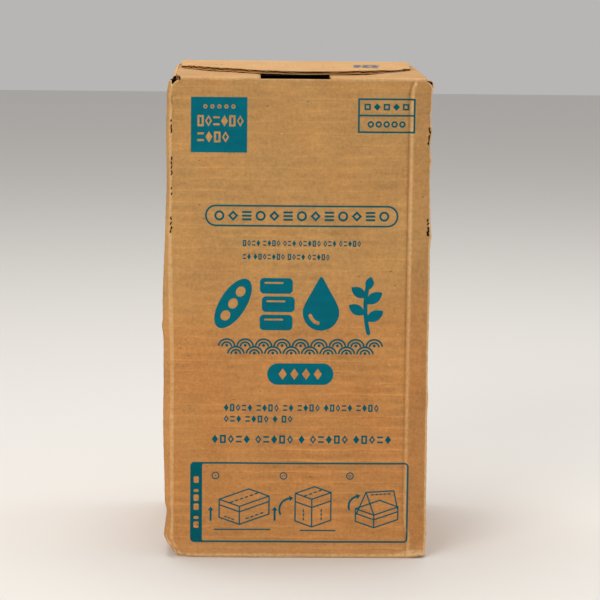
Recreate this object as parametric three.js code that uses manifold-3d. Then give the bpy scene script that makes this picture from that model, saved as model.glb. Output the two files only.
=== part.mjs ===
// A shut corrugated board carton, full of small food packs, standing on one end.
// Millimetres, +Z up. The printed front panel faces -Y. The origin is at the middle
// of the underside, on the surface that the carton stands on.
//
// The four wall panels and what they hold are one solid. Each end flap is its own
// solid, a layer of board with the rounded fold that it hangs on.

import * as THREE from 'three';
import { mergeVertices } from 'three/addons/utils/BufferGeometryUtils.js';
import Module from 'manifold-3d';

const wasm = await Module();
wasm.setup();

// ---- Driving dimensions ----------------------------------------------------

const WIDTH = 141;            // X, across the front panel
const DEPTH = 132;            // Y, front panel to back panel
const HEIGHT = 263;           // Z, underside to the top of the outer end flap
const BOARD = 3.0;            // single wall board
const FLAP_BOARD = 2.0;       // the same board in the top end flaps, pressed flat
const GAP = 0.3;              // air between two layers of board
const FOLD_RADIUS = 1.8;      // outside of a fold
const CORNER_RADIUS = 2.6;    // upright edges of the walls

const PANEL_SWELL = { front: 0.9, back: 0.9, left: 0.5, right: 1.2 };
const SWELL_HEIGHT = 0.56;    // share of the height where the walls swell most

// The front left upright edge wanders in and out. Each entry: height, reach along
// the edge, and how far out it moves.
const LEFT_EDGE_RUN = [
  { at: 205, reach: 17, out: -0.6 },
  { at: 139, reach: 27, out: 1.4 },
  { at: 76, reach: 30, out: 1.0 },
  { at: 23, reach: 7, out: -1.4 },
];

// The bottom left front corner is crushed in.
const CRUSH = { height: 11, in: 6.2, back: 4.0 };

// A pressed crease runs up the front panel near its right edge.
const CREASE = { at: 60.2, halfWidth: 1.3, groove: 0.5, raised: 0.5 };

// End flaps, top. Layers from the top down: rear flap, front flap, side flaps.
const REAR_FLAP_TOP = HEIGHT;
const FRONT_FLAP_TOP = REAR_FLAP_TOP - FLAP_BOARD - GAP;
const SIDE_FLAP_TOP = FRONT_FLAP_TOP - FLAP_BOARD - GAP;
const CONTENTS_TOP = SIDE_FLAP_TOP - FLAP_BOARD - GAP;

const FRONT_FLAP = { left: -64.3, right: 69.2, end: 58, endInset: 1.2 };
const SLOT = { left: -20.4, right: 16.8, front: -63.9, back: -18 };
const REAR_FLAP = {
  hingeLeft: -65, hingeRight: 67, leftCorner: [-64.5, 12], tip: [5, -44.5], rightCorner: [60, -14],
};
// The left side flap's fold stands up as a ridge, level to ridgeFlat from the wall's
// face and down on the sheet by ridgeFoot.
const SIDE_FLAP = { length: 46, halfLength: 61.6, ridge: 2.2, ridgeFlat: 3.6, ridgeFoot: 5.4 };
const CORNER_HOLE_FROM = 66.5; // gaps between the folds at the top's corners start here

// Hollow under the slot, and the underside's two flaps.
const HOLLOW = { left: -21, right: 17.4, front: -62, back: -15, depth: 22 };
const BASE_FLAP = { cornerInset: 2.4, seam: 0.5, crushInset: 5.5 };

const WALL_STEPS = 30;        // sections up the walls
const FOOT_SECTIONS = [0, 2, 4.5, 8]; // closer sections over the crushed corner, from the foot
const SIDE_POINTS = 8;       // points along one wall of a section
const CORNER_POINTS = 4;      // points round one upright edge
const ROUND_POINTS = 6;       // points round a fold

// ---- Colours ---------------------------------------------------------------

const KRAFT = new THREE.Color(0xb88c55);
const KRAFT_LIT = new THREE.Color(0xc29c66);

function board(color) {
  return new THREE.MeshStandardMaterial({ color, roughness: 0.85, metalness: 0 });
}

// ---- Small helpers ---------------------------------------------------------

const bell = (z, { at, reach }) => Math.exp(-(((z - at) / reach) ** 2));

function toManifold(geometry) {
  const plain = geometry.clone();
  plain.deleteAttribute('normal');
  plain.deleteAttribute('uv');
  const merged = mergeVertices(plain, 1e-4);
  return new wasm.Manifold(new wasm.Mesh({
    numProp: 3,
    vertProperties: new Float32Array(merged.attributes.position.array),
    triVerts: new Uint32Array(merged.index.array),
  }));
}

function toGeometry(solid) {
  const mesh = solid.getMesh();
  const geometry = new THREE.BufferGeometry();
  geometry.setAttribute('position', new THREE.BufferAttribute(mesh.vertProperties, 3));
  geometry.setIndex(new THREE.BufferAttribute(mesh.triVerts, 1));
  geometry.computeVertexNormals();
  return geometry;
}

function box(low, high) {
  const size = high.map((value, i) => value - low[i]);
  const geometry = new THREE.BoxGeometry(...size);
  return geometry.translate(...low.map((value, i) => value + size[i] / 2));
}

// A flat plate: an outline in X and Y, raised from z = low to z = high.
function plate(outline, low, high) {
  const geometry = new THREE.ExtrudeGeometry(outline, {
    depth: high - low, bevelEnabled: false, curveSegments: 20,
  });
  return geometry.translate(0, 0, low);
}

// A bar whose section, in its own across (u) and up (v) axes, runs the whole length
// of a fold. along is 'x' or 'y'; from and to are the two ends of the run.
function foldBar(section, along, from, to) {
  const shape = new THREE.Shape(section.map(([u, v]) => new THREE.Vector2(u, v)));
  const geometry = new THREE.ExtrudeGeometry(shape, {
    depth: to - from, bevelEnabled: false,
  });
  // The shape's plane goes to XZ or YZ, and its depth to the remaining axis.
  const basis = new THREE.Matrix4();
  if (along === 'x') {
    basis.makeBasis(
      new THREE.Vector3(0, 1, 0), new THREE.Vector3(0, 0, 1), new THREE.Vector3(1, 0, 0));
    return geometry.applyMatrix4(basis).translate(from, 0, 0);
  }
  basis.makeBasis(
    new THREE.Vector3(1, 0, 0), new THREE.Vector3(0, 0, 1), new THREE.Vector3(0, -1, 0));
  return geometry.applyMatrix4(basis).translate(0, to, 0);
}

// The waste that rounds off an edge: a square corner less its quarter circle.
// sideU and sideV say which way the corner points; (u, v) is the sharp corner.
function roundingSection(u, v, sideU, sideV, radius) {
  const spare = 1;
  const points = [[u + sideU * spare, v - sideV * radius], [u + sideU * spare, v + sideV * spare],
    [u - sideU * radius, v + sideV * spare]];
  for (let i = 0; i <= ROUND_POINTS; i++) {
    const turn = (Math.PI / 2) * (1 - i / ROUND_POINTS);
    points.push([
      u + sideU * radius * (Math.cos(turn) - 1), v + sideV * radius * (Math.sin(turn) - 1),
    ]);
  }
  const area = THREE.ShapeUtils.area(points.map(([x, y]) => new THREE.Vector2(x, y)));
  return area < 0 ? points.reverse() : points;
}

// ---- Walls and contents ----------------------------------------------------

// How far the crushed corner has gone at height z, from 0 to 1.
function crushAt(z) {
  return z >= CRUSH.height ? 0 : (1 - z / CRUSH.height) ** 1.4;
}

function leftEdgeRun(z) {
  return LEFT_EDGE_RUN.reduce((sum, wave) => sum + wave.out * bell(z, wave), 0);
}

// The front panel's relief: the pressed crease, and the slightly raised strip
// between it and the right edge.
function creaseRelief(x) {
  const along = (x - CREASE.at) / CREASE.halfWidth;
  const groove = Math.abs(along) < 1 ? CREASE.groove * (1 - Math.abs(along)) : 0;
  const raised = along > 1 ? CREASE.raised : 0;
  return raised - groove;
}

// One level section of the walls, counter-clockwise seen from above.
function wallSection(z) {
  const crush = crushAt(z);
  const corners = [
    { x: -WIDTH / 2 - leftEdgeRun(z) + CRUSH.in * crush, y: -DEPTH / 2 + CRUSH.back * crush,
      radius: CORNER_RADIUS + 4 * crush },
    { x: WIDTH / 2, y: -DEPTH / 2, radius: CORNER_RADIUS },
    { x: WIDTH / 2, y: DEPTH / 2, radius: CORNER_RADIUS },
    { x: -WIDTH / 2, y: DEPTH / 2, radius: CORNER_RADIUS },
  ];
  const swells = [PANEL_SWELL.front, PANEL_SWELL.right, PANEL_SWELL.back, PANEL_SWELL.left];
  const lift = Math.sin(Math.PI * Math.min(1, z / HEIGHT) ** (Math.log(0.5) / Math.log(SWELL_HEIGHT)));
  const points = [];
  corners.forEach((corner, i) => {
    const before = corners[(i + 3) % 4];
    const after = corners[(i + 1) % 4];
    const into = new THREE.Vector2(corner.x - before.x, corner.y - before.y).normalize();
    const out = new THREE.Vector2(after.x - corner.x, after.y - corner.y).normalize();
    const tip = new THREE.Vector2(corner.x, corner.y);
    const arc = new THREE.QuadraticBezierCurve(
      tip.clone().addScaledVector(into, -corner.radius), tip,
      tip.clone().addScaledVector(out, corner.radius));
    points.push(...arc.getPoints(CORNER_POINTS - 1));
    // The wall from this corner to the next swells outwards along its middle.
    const start = tip.clone().addScaledVector(out, corner.radius);
    const end = new THREE.Vector2(after.x, after.y).addScaledVector(out, -after.radius);
    const outward = new THREE.Vector2(out.y, -out.x);
    for (const share of wallShares(i, start, end)) {
      const point = start.clone().lerp(end, share);
      const relief = i === 0 ? creaseRelief(point.x) : 0;
      point.addScaledVector(outward, swells[i] * lift * Math.sin(Math.PI * share) + relief);
      points.push(point);
    }
  });
  return points;
}

// Where the points of wall i stand between its two ends. The front wall, wall 0,
// has three more, at the crease.
function wallShares(i, start, end) {
  const even = Array.from({ length: SIDE_POINTS }, (_, k) => (k + 1) / (SIDE_POINTS + 1));
  if (i !== 0) return even;
  const at = (x) => (x - start.x) / (end.x - start.x);
  const crease = [-1.05, 0, 1.05].map((side) => at(CREASE.at + side * CREASE.halfWidth));
  return [...even.filter((share) => share < crease[0] - 0.02), ...crease];
}

// Level sections stacked into one closed skin, with a fan over each end.
function stack(sections, heights) {
  const around = sections[0].length;
  const positions = [];
  sections.forEach((section, level) => {
    section.forEach((p) => positions.push(p.x, p.y, heights[level]));
  });
  const index = [];
  for (let level = 0; level < sections.length - 1; level++) {
    for (let k = 0; k < around; k++) {
      const a = level * around + k;
      const b = level * around + ((k + 1) % around);
      index.push(a, b, b + around, a, b + around, a + around);
    }
  }
  for (const [level, upward] of [[0, false], [sections.length - 1, true]]) {
    const centre = positions.length / 3;
    positions.push(0, 0, heights[level]);
    for (let k = 0; k < around; k++) {
      const a = level * around + k;
      const b = level * around + ((k + 1) % around);
      index.push(...(upward ? [centre, a, b] : [centre, b, a]));
    }
  }
  const geometry = new THREE.BufferGeometry();
  geometry.setAttribute('position', new THREE.Float32BufferAttribute(positions, 3));
  geometry.setIndex(index);
  return geometry;
}

function cartonBody() {
  const foot = BOARD + GAP;
  const top = FRONT_FLAP_TOP;
  const heights = FOOT_SECTIONS.map((rise) => foot + rise);
  const even = heights.at(-1);
  for (let i = 1; i <= WALL_STEPS; i++) heights.push(even + ((top - even) * i) / WALL_STEPS);
  let solid = toManifold(stack(heights.map(wallSection), heights));

  const far = WIDTH;
  const wallInside = DEPTH / 2 - BOARD - GAP;
  // Above the side flaps' level only the back wall goes on up, to the rear flap.
  solid = solid.subtract(toManifold(box(
    [-far, -far, SIDE_FLAP_TOP], [far, wallInside, far * 2])));
  const cornerHole = (side, low, high) => box(
    [Math.min(side * CORNER_HOLE_FROM, side * far), low, SIDE_FLAP_TOP],
    [Math.max(side * CORNER_HOLE_FROM, side * far), high, far * 2]);
  solid = solid.subtract(toManifold(cornerHole(-1, 0, far)));
  solid = solid.subtract(toManifold(cornerHole(1, 0, far)));
  // The side flaps lie on the contents, between the front wall and the back wall.
  solid = solid.subtract(toManifold(box(
    [-far, -(SIDE_FLAP.halfLength + GAP), CONTENTS_TOP],
    [far, SIDE_FLAP.halfLength + GAP, far * 2])));
  solid = solid.subtract(toManifold(box(
    [HOLLOW.left, HOLLOW.front, CONTENTS_TOP - HOLLOW.depth],
    [HOLLOW.right, HOLLOW.back, far * 2])));
  return toGeometry(solid);
}

// ---- Top end flaps ---------------------------------------------------------

// The inner flap folds back from the front panel and has a square finger slot.
function frontEndFlap() {
  const f = FRONT_FLAP;
  const outline = new THREE.Shape();
  outline.moveTo(f.left, -DEPTH / 2);
  outline.lineTo(f.right, -DEPTH / 2);
  outline.lineTo(f.right - f.endInset, f.end);
  outline.lineTo(f.left + f.endInset, f.end);
  outline.closePath();
  const slot = new THREE.Path();
  slot.moveTo(SLOT.left, SLOT.front);
  slot.lineTo(SLOT.left, SLOT.back);
  slot.lineTo(SLOT.right, SLOT.back);
  slot.lineTo(SLOT.right, SLOT.front);
  slot.closePath();
  outline.holes.push(slot);
  const sheet = plate(outline, FRONT_FLAP_TOP - FLAP_BOARD, FRONT_FLAP_TOP);
  const waste = foldBar(
    roundingSection(-DEPTH / 2, FRONT_FLAP_TOP, -1, 1, FOLD_RADIUS), 'x', -WIDTH, WIDTH);
  return toGeometry(toManifold(sheet).subtract(toManifold(waste)));
}

// The outer flap folds forward from the back panel. Its free edge is a shallow tongue.
function rearEndFlap() {
  const f = REAR_FLAP;
  const hinge = DEPTH / 2;
  const [leftX, leftY] = f.leftCorner;
  const [tipX, tipY] = f.tip;
  const [rightX, rightY] = f.rightCorner;
  const outline = new THREE.Shape();
  outline.moveTo(f.hingeRight, hinge);
  outline.lineTo(f.hingeLeft, hinge);
  outline.lineTo(leftX, leftY);
  outline.bezierCurveTo(leftX + 2.5, leftY - 16, tipX - 23, tipY + 2.5, tipX, tipY);
  outline.bezierCurveTo(tipX + 17, tipY - 1.5, rightX - 14, rightY - 10, rightX, rightY);
  outline.closePath();
  const sheet = plate(outline, REAR_FLAP_TOP - FLAP_BOARD, REAR_FLAP_TOP);
  const waste = foldBar(
    roundingSection(hinge, REAR_FLAP_TOP, 1, 1, FOLD_RADIUS), 'x', -WIDTH, WIDTH);
  return toGeometry(toManifold(sheet).subtract(toManifold(waste)));
}

// A side flap, seen end on: the fold at the wall's face, then the layer of board that
// lies under the front flap. ridge is how far the fold stands above that layer.
function sideEndFlap(side, ridge) {
  const face = WIDTH / 2;
  const low = SIDE_FLAP_TOP - FLAP_BOARD;
  const r = FOLD_RADIUS;
  const section = [[face, low]];
  for (let i = 0; i <= ROUND_POINTS; i++) {
    const turn = ((Math.PI / 2) * i) / ROUND_POINTS;
    section.push([
      face + r * (Math.cos(turn) - 1), SIDE_FLAP_TOP + ridge + r * (Math.sin(turn) - 1),
    ]);
  }
  if (ridge > 0) {
    section.push([face - SIDE_FLAP.ridgeFlat, SIDE_FLAP_TOP + ridge * 0.9]);
    section.push([face - SIDE_FLAP.ridgeFoot, SIDE_FLAP_TOP]);
  }
  section.push([face - SIDE_FLAP.length, SIDE_FLAP_TOP], [face - SIDE_FLAP.length, low]);
  const placed = section.map(([u, v]) => [side * u, v]);
  if (side < 0) placed.reverse();
  return foldBar(placed, 'y', -SIDE_FLAP.halfLength, SIDE_FLAP.halfLength);
}

// ---- Underside -------------------------------------------------------------

// Two flaps fold in under the contents and meet along the middle.
function baseFlap(side) {
  const half = WIDTH / 2 - BASE_FLAP.cornerInset;
  const edge = side * (DEPTH / 2);
  const seam = side * (BASE_FLAP.seam / 2);
  const crush = side < 0 ? BASE_FLAP.crushInset : 0;
  const points = [
    [-half, seam], [-half, edge - side * (crush + 1)], [-half + crush, edge],
    [half, edge], [half, seam],
  ];
  const outline = new THREE.Shape(points.map(([x, y]) => new THREE.Vector2(x, y)));
  const sheet = plate(outline, 0, BOARD);
  const waste = foldBar(roundingSection(edge, 0, side, -1, FOLD_RADIUS), 'x', -WIDTH, WIDTH);
  return toGeometry(toManifold(sheet).subtract(toManifold(waste)));
}

// ---- The carton ------------------------------------------------------------

const carton = new THREE.Group();

function add(name, geometry, color) {
  const mesh = new THREE.Mesh(geometry, board(color));
  mesh.name = name;
  carton.add(mesh);
}

add('carton_body', cartonBody(), KRAFT);
add('left_end_flap', sideEndFlap(-1, SIDE_FLAP.ridge), KRAFT_LIT);
add('right_end_flap', sideEndFlap(1, 0), KRAFT_LIT);
add('front_end_flap', frontEndFlap(), KRAFT_LIT);
add('rear_end_flap', rearEndFlap(), KRAFT_LIT);
add('front_base_flap', baseFlap(-1), KRAFT);
add('rear_base_flap', baseFlap(1), KRAFT);

export default carton;
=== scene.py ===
"""Looks of a shut corrugated board carton that stands on one end.

The walls, the end flaps and the print are surfaces worked out from the frame's own
boxes. Every length inside the functions is in millimetres, in the frame's axes; a
mesh is scaled to metres once, when it is made.
"""

import math
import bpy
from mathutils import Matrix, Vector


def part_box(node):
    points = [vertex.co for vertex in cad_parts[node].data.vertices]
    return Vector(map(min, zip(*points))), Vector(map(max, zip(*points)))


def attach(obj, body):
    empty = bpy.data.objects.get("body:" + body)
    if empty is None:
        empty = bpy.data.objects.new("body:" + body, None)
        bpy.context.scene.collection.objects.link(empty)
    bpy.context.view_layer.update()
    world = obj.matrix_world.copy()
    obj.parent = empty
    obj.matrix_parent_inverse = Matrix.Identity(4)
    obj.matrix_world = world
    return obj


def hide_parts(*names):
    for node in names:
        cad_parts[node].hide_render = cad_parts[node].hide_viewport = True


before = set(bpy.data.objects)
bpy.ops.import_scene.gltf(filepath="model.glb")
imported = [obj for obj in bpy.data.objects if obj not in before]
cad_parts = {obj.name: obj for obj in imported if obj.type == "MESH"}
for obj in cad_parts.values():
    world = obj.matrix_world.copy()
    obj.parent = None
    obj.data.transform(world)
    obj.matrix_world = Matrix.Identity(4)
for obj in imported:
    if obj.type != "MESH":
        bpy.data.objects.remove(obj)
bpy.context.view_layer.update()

from types import SimpleNamespace

import bpy
import numpy as np
from mathutils import Matrix, Vector
from mathutils.geometry import delaunay_2d_cdt

MM = 0.001
TAU = 2 * math.pi
QUARTER = math.pi / 2


# ---------------------------------------------------------------- sizes from the frame

def node_span(node):
    """The lowest and the highest corner of a node of the frame, in millimetres."""
    low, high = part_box(node)
    return np.array(low) / MM, np.array(high) / MM


left_low, left_high = node_span("left_end_flap")
right_low, right_high = node_span("right_end_flap")
front_low, front_high = node_span("front_end_flap")
rear_low, rear_high = node_span("rear_end_flap")
base_low, base_high = node_span("front_base_flap")

HALF_W = right_high[0]
HALF_D = -front_low[1]
HEIGHT = rear_high[2]
BOARD = base_high[2] - base_low[2]
FLAP_BOARD_THICK = front_high[2] - front_low[2]
FRONT_TOP = front_high[2]
SIDE_TOP = right_high[2]
RIDGE_TOP = left_high[2]
DECK_TOP = left_low[2] - 8      # the contents lie this far below the side flaps

# ---------------------------------------------------------------- driving sizes

FLUTE_PITCH = 6.1       # one wave of the fluting
LINER = 0.4             # one liner of the board
FLUTING = 0.25          # the waved sheet between the liners
FOLD = 1.8              # outside of a fold
FOOT_FOLD = 1.0         # the same at the foot, pressed tight by the weight
SIDE_FOOT = 0.6         # the side walls' lower edge
CUT_FOOT = 0.35         # the same at the front's two ends, beyond the base flap's fold
CORNER = (4.6, 2.6, 3.2, 3.2)   # upright edges: front left, front right, rear right, rear left
SWELL = (0.9, 1.2, 0.9, 0.5)    # how far the front, right, back and left walls bulge
SWELL_MIDDLE = 0.56     # share of the height where they bulge most
CREASE_X = 59.0         # the pressed crease up the front wall
LEAN = (2.7, 1.5)       # how far the left wall's top leans in: along the wall, at its front edge
LEAN_FROM = 250.5
CRUSH_HEIGHT = 11.0     # the crushed corner at the foot
CRUSH_SHIFT = (6.2, 4.0)
CRUSH_REACH = (60.0, 1500.0)    # how fast it fades along the front and along the left wall
LIFT_FROM = 61.0        # the foot's right corner is bent up from here
LIFT = 1.1
FRONT_EDGES = (-63.4, 68.2)     # the front flap's ends at its fold
SLOT = (-20.4, 16.8, 0.35, 48.0)    # the finger slot: left, right, nearest, farthest from the front
LEFT_NOTCH = (-85.2, -84.4, -64.4, -63.6)   # girths between which the top's two notches are cut
RIGHT_NOTCH = (68.2, 69.0, 74.0, 75.0)
PRINT_LIFT = 0.07       # how far the ink stands out of the board
PRINT_SINK = 0.12       # and how far its film reaches into it
OUTLINE_STEP = 1.4      # longest side of a printed outline
CREASED_STEP = 0.5      # and where it crosses a crease
WELD = 1e-4             # points of an outline closer than this are one

# Girth: a distance walked round the walls, seen from above, that equals x on the
# front wall. The walls follow one another as front, right, back, left.
WALL_LENGTH = np.array([2 * HALF_W, 2 * HALF_D, 2 * HALF_W, 2 * HALF_D])
WALL_START = np.concatenate(([0.0], np.cumsum(WALL_LENGTH)))
GIRTH = WALL_START[4]
BACK_START = HALF_W + 2 * HALF_D    # girth of the rear right corner
LEFT_START = -BACK_START            # and of the rear left one
WALL_ALONG = np.array([[1, 0], [0, 1], [-1, 0], [0, -1]])
WALL_OUT = np.roll(WALL_ALONG, 1, 0)
WALL_CORNER = (WALL_OUT - WALL_ALONG) * (HALF_W, HALF_D)
FRONT, RIGHT, BACK, LEFT = range(4)

# Bells that the two upright edges of the front wander by: how far out, height, reach.
LEFT_EDGE = ((1.4, 139, 27), (1.0, 76, 30), (-0.6, 205, 17), (-0.5, 247, 9), (-1.7, 22, 5.5),
             (0.5, 13, 3.5), (0.6, 126.5, 3))
RIGHT_EDGE = ((0.5, 88, 5), (0.35, 140, 22), (0.4, 15, 7), (0.9, 256.5, 3), (-0.5, 240, 3.5),
              (0.6, 232, 3), (-0.45, 224.5, 3), (0.4, 216.5, 3), (-0.3, 208, 5), (0.7, 177, 5))
# The perforated edges: girth, half width of a tear, and each tear's height and half length.
LEFT_SLITS = (-68.1, 0.8, (
    (249.6, 1.3), (247.0, 1.1), (237.2, 0.7), (234.3, 1.1), (231.9, 1.3), (217.2, 1.3),
    (214.8, 1.1), (212.6, 1.2), (210.2, 0.8), (208.9, 0.5), (201.4, 0.7), (198.6, 0.6),
    (185.3, 1.2), (182.7, 1.1), (180.2, 1.2), (178.2, 0.8)))
RIGHT_SLITS = (70.0, 1.25, (
    (234.3, 0.8), (232.5, 1.0), (230.1, 1.0), (228.4, 1.1), (226.3, 0.9), (185.4, 0.8),
    (183.4, 0.9), (180.9, 0.8), (179.2, 1.3), (177.6, 0.9)))
TEAR_FADE = 1.25        # a tear fades out this much beyond its half length
# Small creases of the front wall: x and z of the start and of the end, width, how far out.
SCORES = (
    (-67.6, 245.1, -66.3, 242.0, 0.5, -0.45), (-66.3, 242.0, -64.4, 239.9, 0.5, -0.4),
    (-65.8, 251.6, -65.1, 249.6, 0.45, -0.35), (-67.3, 228.7, -64.7, 227.3, 0.5, -0.4),
    (-67.0, 226.6, -63.6, 222.9, 0.55, -0.45), (69.9, 243.2, 66.8, 240.0, 0.5, -0.5),
    (60.8, 171.9, 69.7, 171.9, 0.5, -0.4), (44.0, 171.5, 50.4, 173.9, 0.5, 0.35),
    (44.3, 170.6, 50.8, 173.0, 0.5, -0.35), (68.9, 234.5, 68.7, 229.8, 0.5, 0.4),
    (46.0, 6.4, 61.0, 4.2, 1.1, 0.5), (62.8, 8.6, 67.0, 7.6, 0.8, -0.5),
    (64.5, 5.4, 68.5, 3.2, 0.5, -0.6), (66.0, 6.4, 70.0, 5.2, 0.5, 0.5),
    (-66.5, 14.0, -61.0, 4.0, 0.7, 0.35), (-69.6, 9.0, -62.0, 6.2, 0.8, -0.5),
    (-64.0, 12.5, -52.0, 3.0, 1.0, -0.3),
)
PIT = (53.3, 157.6)     # a small pit in the front wall


# ---------------------------------------------------------------- curves and waves

def smooth(low, high, value):
    """An S-shaped step from 0 at low to 1 at high."""
    t = np.clip((value - low) / (high - low), 0, 1)
    return t * t * (3 - 2 * t)


def plateau(value, start, full, fading, end):
    """1 from full to fading, with S-shaped steps down to 0 at start and at end."""
    return smooth(start, full, value) * smooth(end, fading, value)


def bell(value, at, reach):
    """A bell curve of height 1: exp of minus the square of the distance over reach."""
    return np.exp(-(((value - at) / reach) ** 2))


def bells(value, terms):
    """A sum of bell curves, each given by its height, place and reach."""
    return sum(height * bell(value, at, reach) for height, at, reach in terms)


def swirl(u, v, reach, seed, waves=7):
    """A soft random field of two parameters, about -1 to 1: a sum of a few sine waves
    that run in seeded directions, with lengths near reach."""
    draw = np.random.default_rng(seed)
    turn = draw.uniform(0.0, TAU, waves)
    length = reach * draw.uniform(0.6, 1.6, waves)
    start = draw.uniform(0.0, TAU, waves)
    u = np.asarray(u, float)[..., None]
    v = np.asarray(v, float)[..., None]
    phase = (u * np.cos(turn) + v * np.sin(turn)) * TAU / length + start
    return np.sin(phase).sum(-1) / math.sqrt(waves)


def groove(x, z, start_x, start_z, end_x, end_z, width):
    """1 on the straight line from start to end, falling off as a bell with the
    distance from it over width."""
    run_x, run_z = end_x - start_x, end_z - start_z
    from_x, from_z = x - start_x, z - start_z
    share = np.clip((from_x * run_x + from_z * run_z) / (run_x ** 2 + run_z ** 2), 0, 1)
    return bell(np.hypot(from_x - share * run_x, from_z - share * run_z), 0, width)


# ---------------------------------------------------------------- the walls' surface

def wall_base(s):
    """The plain girth: a rectangle whose corners are quarter circles. Returns x, y, the
    outward normal, the wall's number, and how far round a corner the point is, from 0 on
    the flat to 1 at the middle of the corner."""
    walked = np.mod(np.asarray(s, float) + HALF_W, GIRTH)
    wall = np.clip(np.searchsorted(WALL_START, walked, side="right") - 1, 0, 3)
    gone = walked - WALL_START[wall]
    left = WALL_LENGTH[wall] - gone
    nearest = np.where(gone < left, wall, (wall + 1) % 4)
    into = (nearest + 3) % 4
    beside = np.where(gone < left, gone, -left)
    radius = np.array(CORNER)[nearest]
    in_corner = (np.abs(beside) < radius)[..., None]
    turn = (0.5 + 0.5 * np.clip(beside / radius, -1, 1)) * QUARTER
    arc_out = WALL_OUT[into] * np.cos(turn)[..., None] + WALL_OUT[nearest] * np.sin(turn)[..., None]
    centre = WALL_CORNER[nearest] - radius[..., None] * (WALL_OUT[into] + WALL_OUT[nearest])
    flat = WALL_CORNER[wall] + WALL_ALONG[wall] * gone[..., None]
    point = np.where(in_corner, centre + radius[..., None] * arc_out, flat)
    out = np.where(in_corner, arc_out, WALL_OUT[wall])
    bend = np.clip(1 - np.abs(beside) / radius, 0, 1)
    return point[..., 0], point[..., 1], out, wall, bend


def wrapped(s):
    """The same girth counted from the rear left corner, so that the left wall and the
    front left corner lie below the front wall's range."""
    return np.mod(np.asarray(s, float) + BACK_START, GIRTH) - BACK_START


def back_girth(x):
    """Girth of a point of the back wall, and x from its girth: one takes the other back."""
    return BACK_START + HALF_W - x


def slit_mask(s, z):
    """1 inside the tears of the front wall's two perforated upright edges: each is a thin lens, its width
    falling to nothing at its ends, with a ragged edge."""
    ragged = 0.12 * swirl(s, z, 1.7, seed=5)
    mask = np.zeros(np.broadcast(s, z).shape)
    for at, half_width, slits in (LEFT_SLITS, RIGHT_SLITS):
        across = np.abs(s - at + 0.3 * np.sin(z * 1.7)) / half_width
        for height, half in slits:
            along = np.abs(z - height) / (TEAR_FADE * half)
            mask = np.maximum(mask, smooth(0, 0.45, 1 - np.hypot(across, along) + ragged))
    return mask


def crease_line(z):
    """x of the pressed crease at height z: a straight run that leans right at its top, as
    an exponential of the distance from the fold, and a little towards its foot."""
    top_lean = 1.6 * np.exp(-np.maximum(FRONT_TOP - 3 - z, 0) / 2.6)
    return CREASE_X + top_lean - 0.1 * smooth(130, 60, z) + 2 * smooth(24, 8, z)


def crease_height(z):
    """1 along the crease, fading out at the fold above it."""
    return smooth(262, 257.5, z)


def front_relief(x, z):
    """How far the front wall stands out: the pressed crease with the raised strip beside it, the fold line
    along the left edge, the small creases, the pit and the tears of the perforations."""
    beside = x - crease_line(z)
    strip = 0.5 * smooth(0, 1.3, beside) * smooth(72.5, 67, x)
    depth = crease_height(z) * (1 - 0.5 * smooth(160, 60, z))
    relief = depth * (strip - 0.65 * bell(beside, -0.3, 0.8)) - 0.22 * bell(x, -66.3, 0.7)
    for *ends, width, out in SCORES:
        relief = relief + out * groove(x, z, *ends, width)
    from_pit = np.hypot(x - PIT[0], z - PIT[1])
    relief = relief + bells(from_pit, ((-0.45, 0, 0.8), (0.18, 1.5, 0.6)))
    lips = bell(x, LEFT_SLITS[0], 1.3) + bell(x, RIGHT_SLITS[0], 1.3)
    lips = 0.16 * lips * plateau(z, 172, 180, 250, 254) * (1 + swirl(x, z, 6.0, seed=8))
    return relief + lips - 1.1 * slit_mask(x, z)


def flute_share(s, z):
    """How far the flutes show through the liner, 0 to 1: not on the pressed strip nor on
    the upright edges."""
    _, _, _, wall, bend = wall_base(s)
    pressed = np.where(wall == FRONT, smooth(CREASE_X - 1, CREASE_X + 2, s), 0)
    return (1 - pressed) * (1 - bend) * (0.75 + 0.25 * swirl(s, z, 45.0, seed=21))


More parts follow.
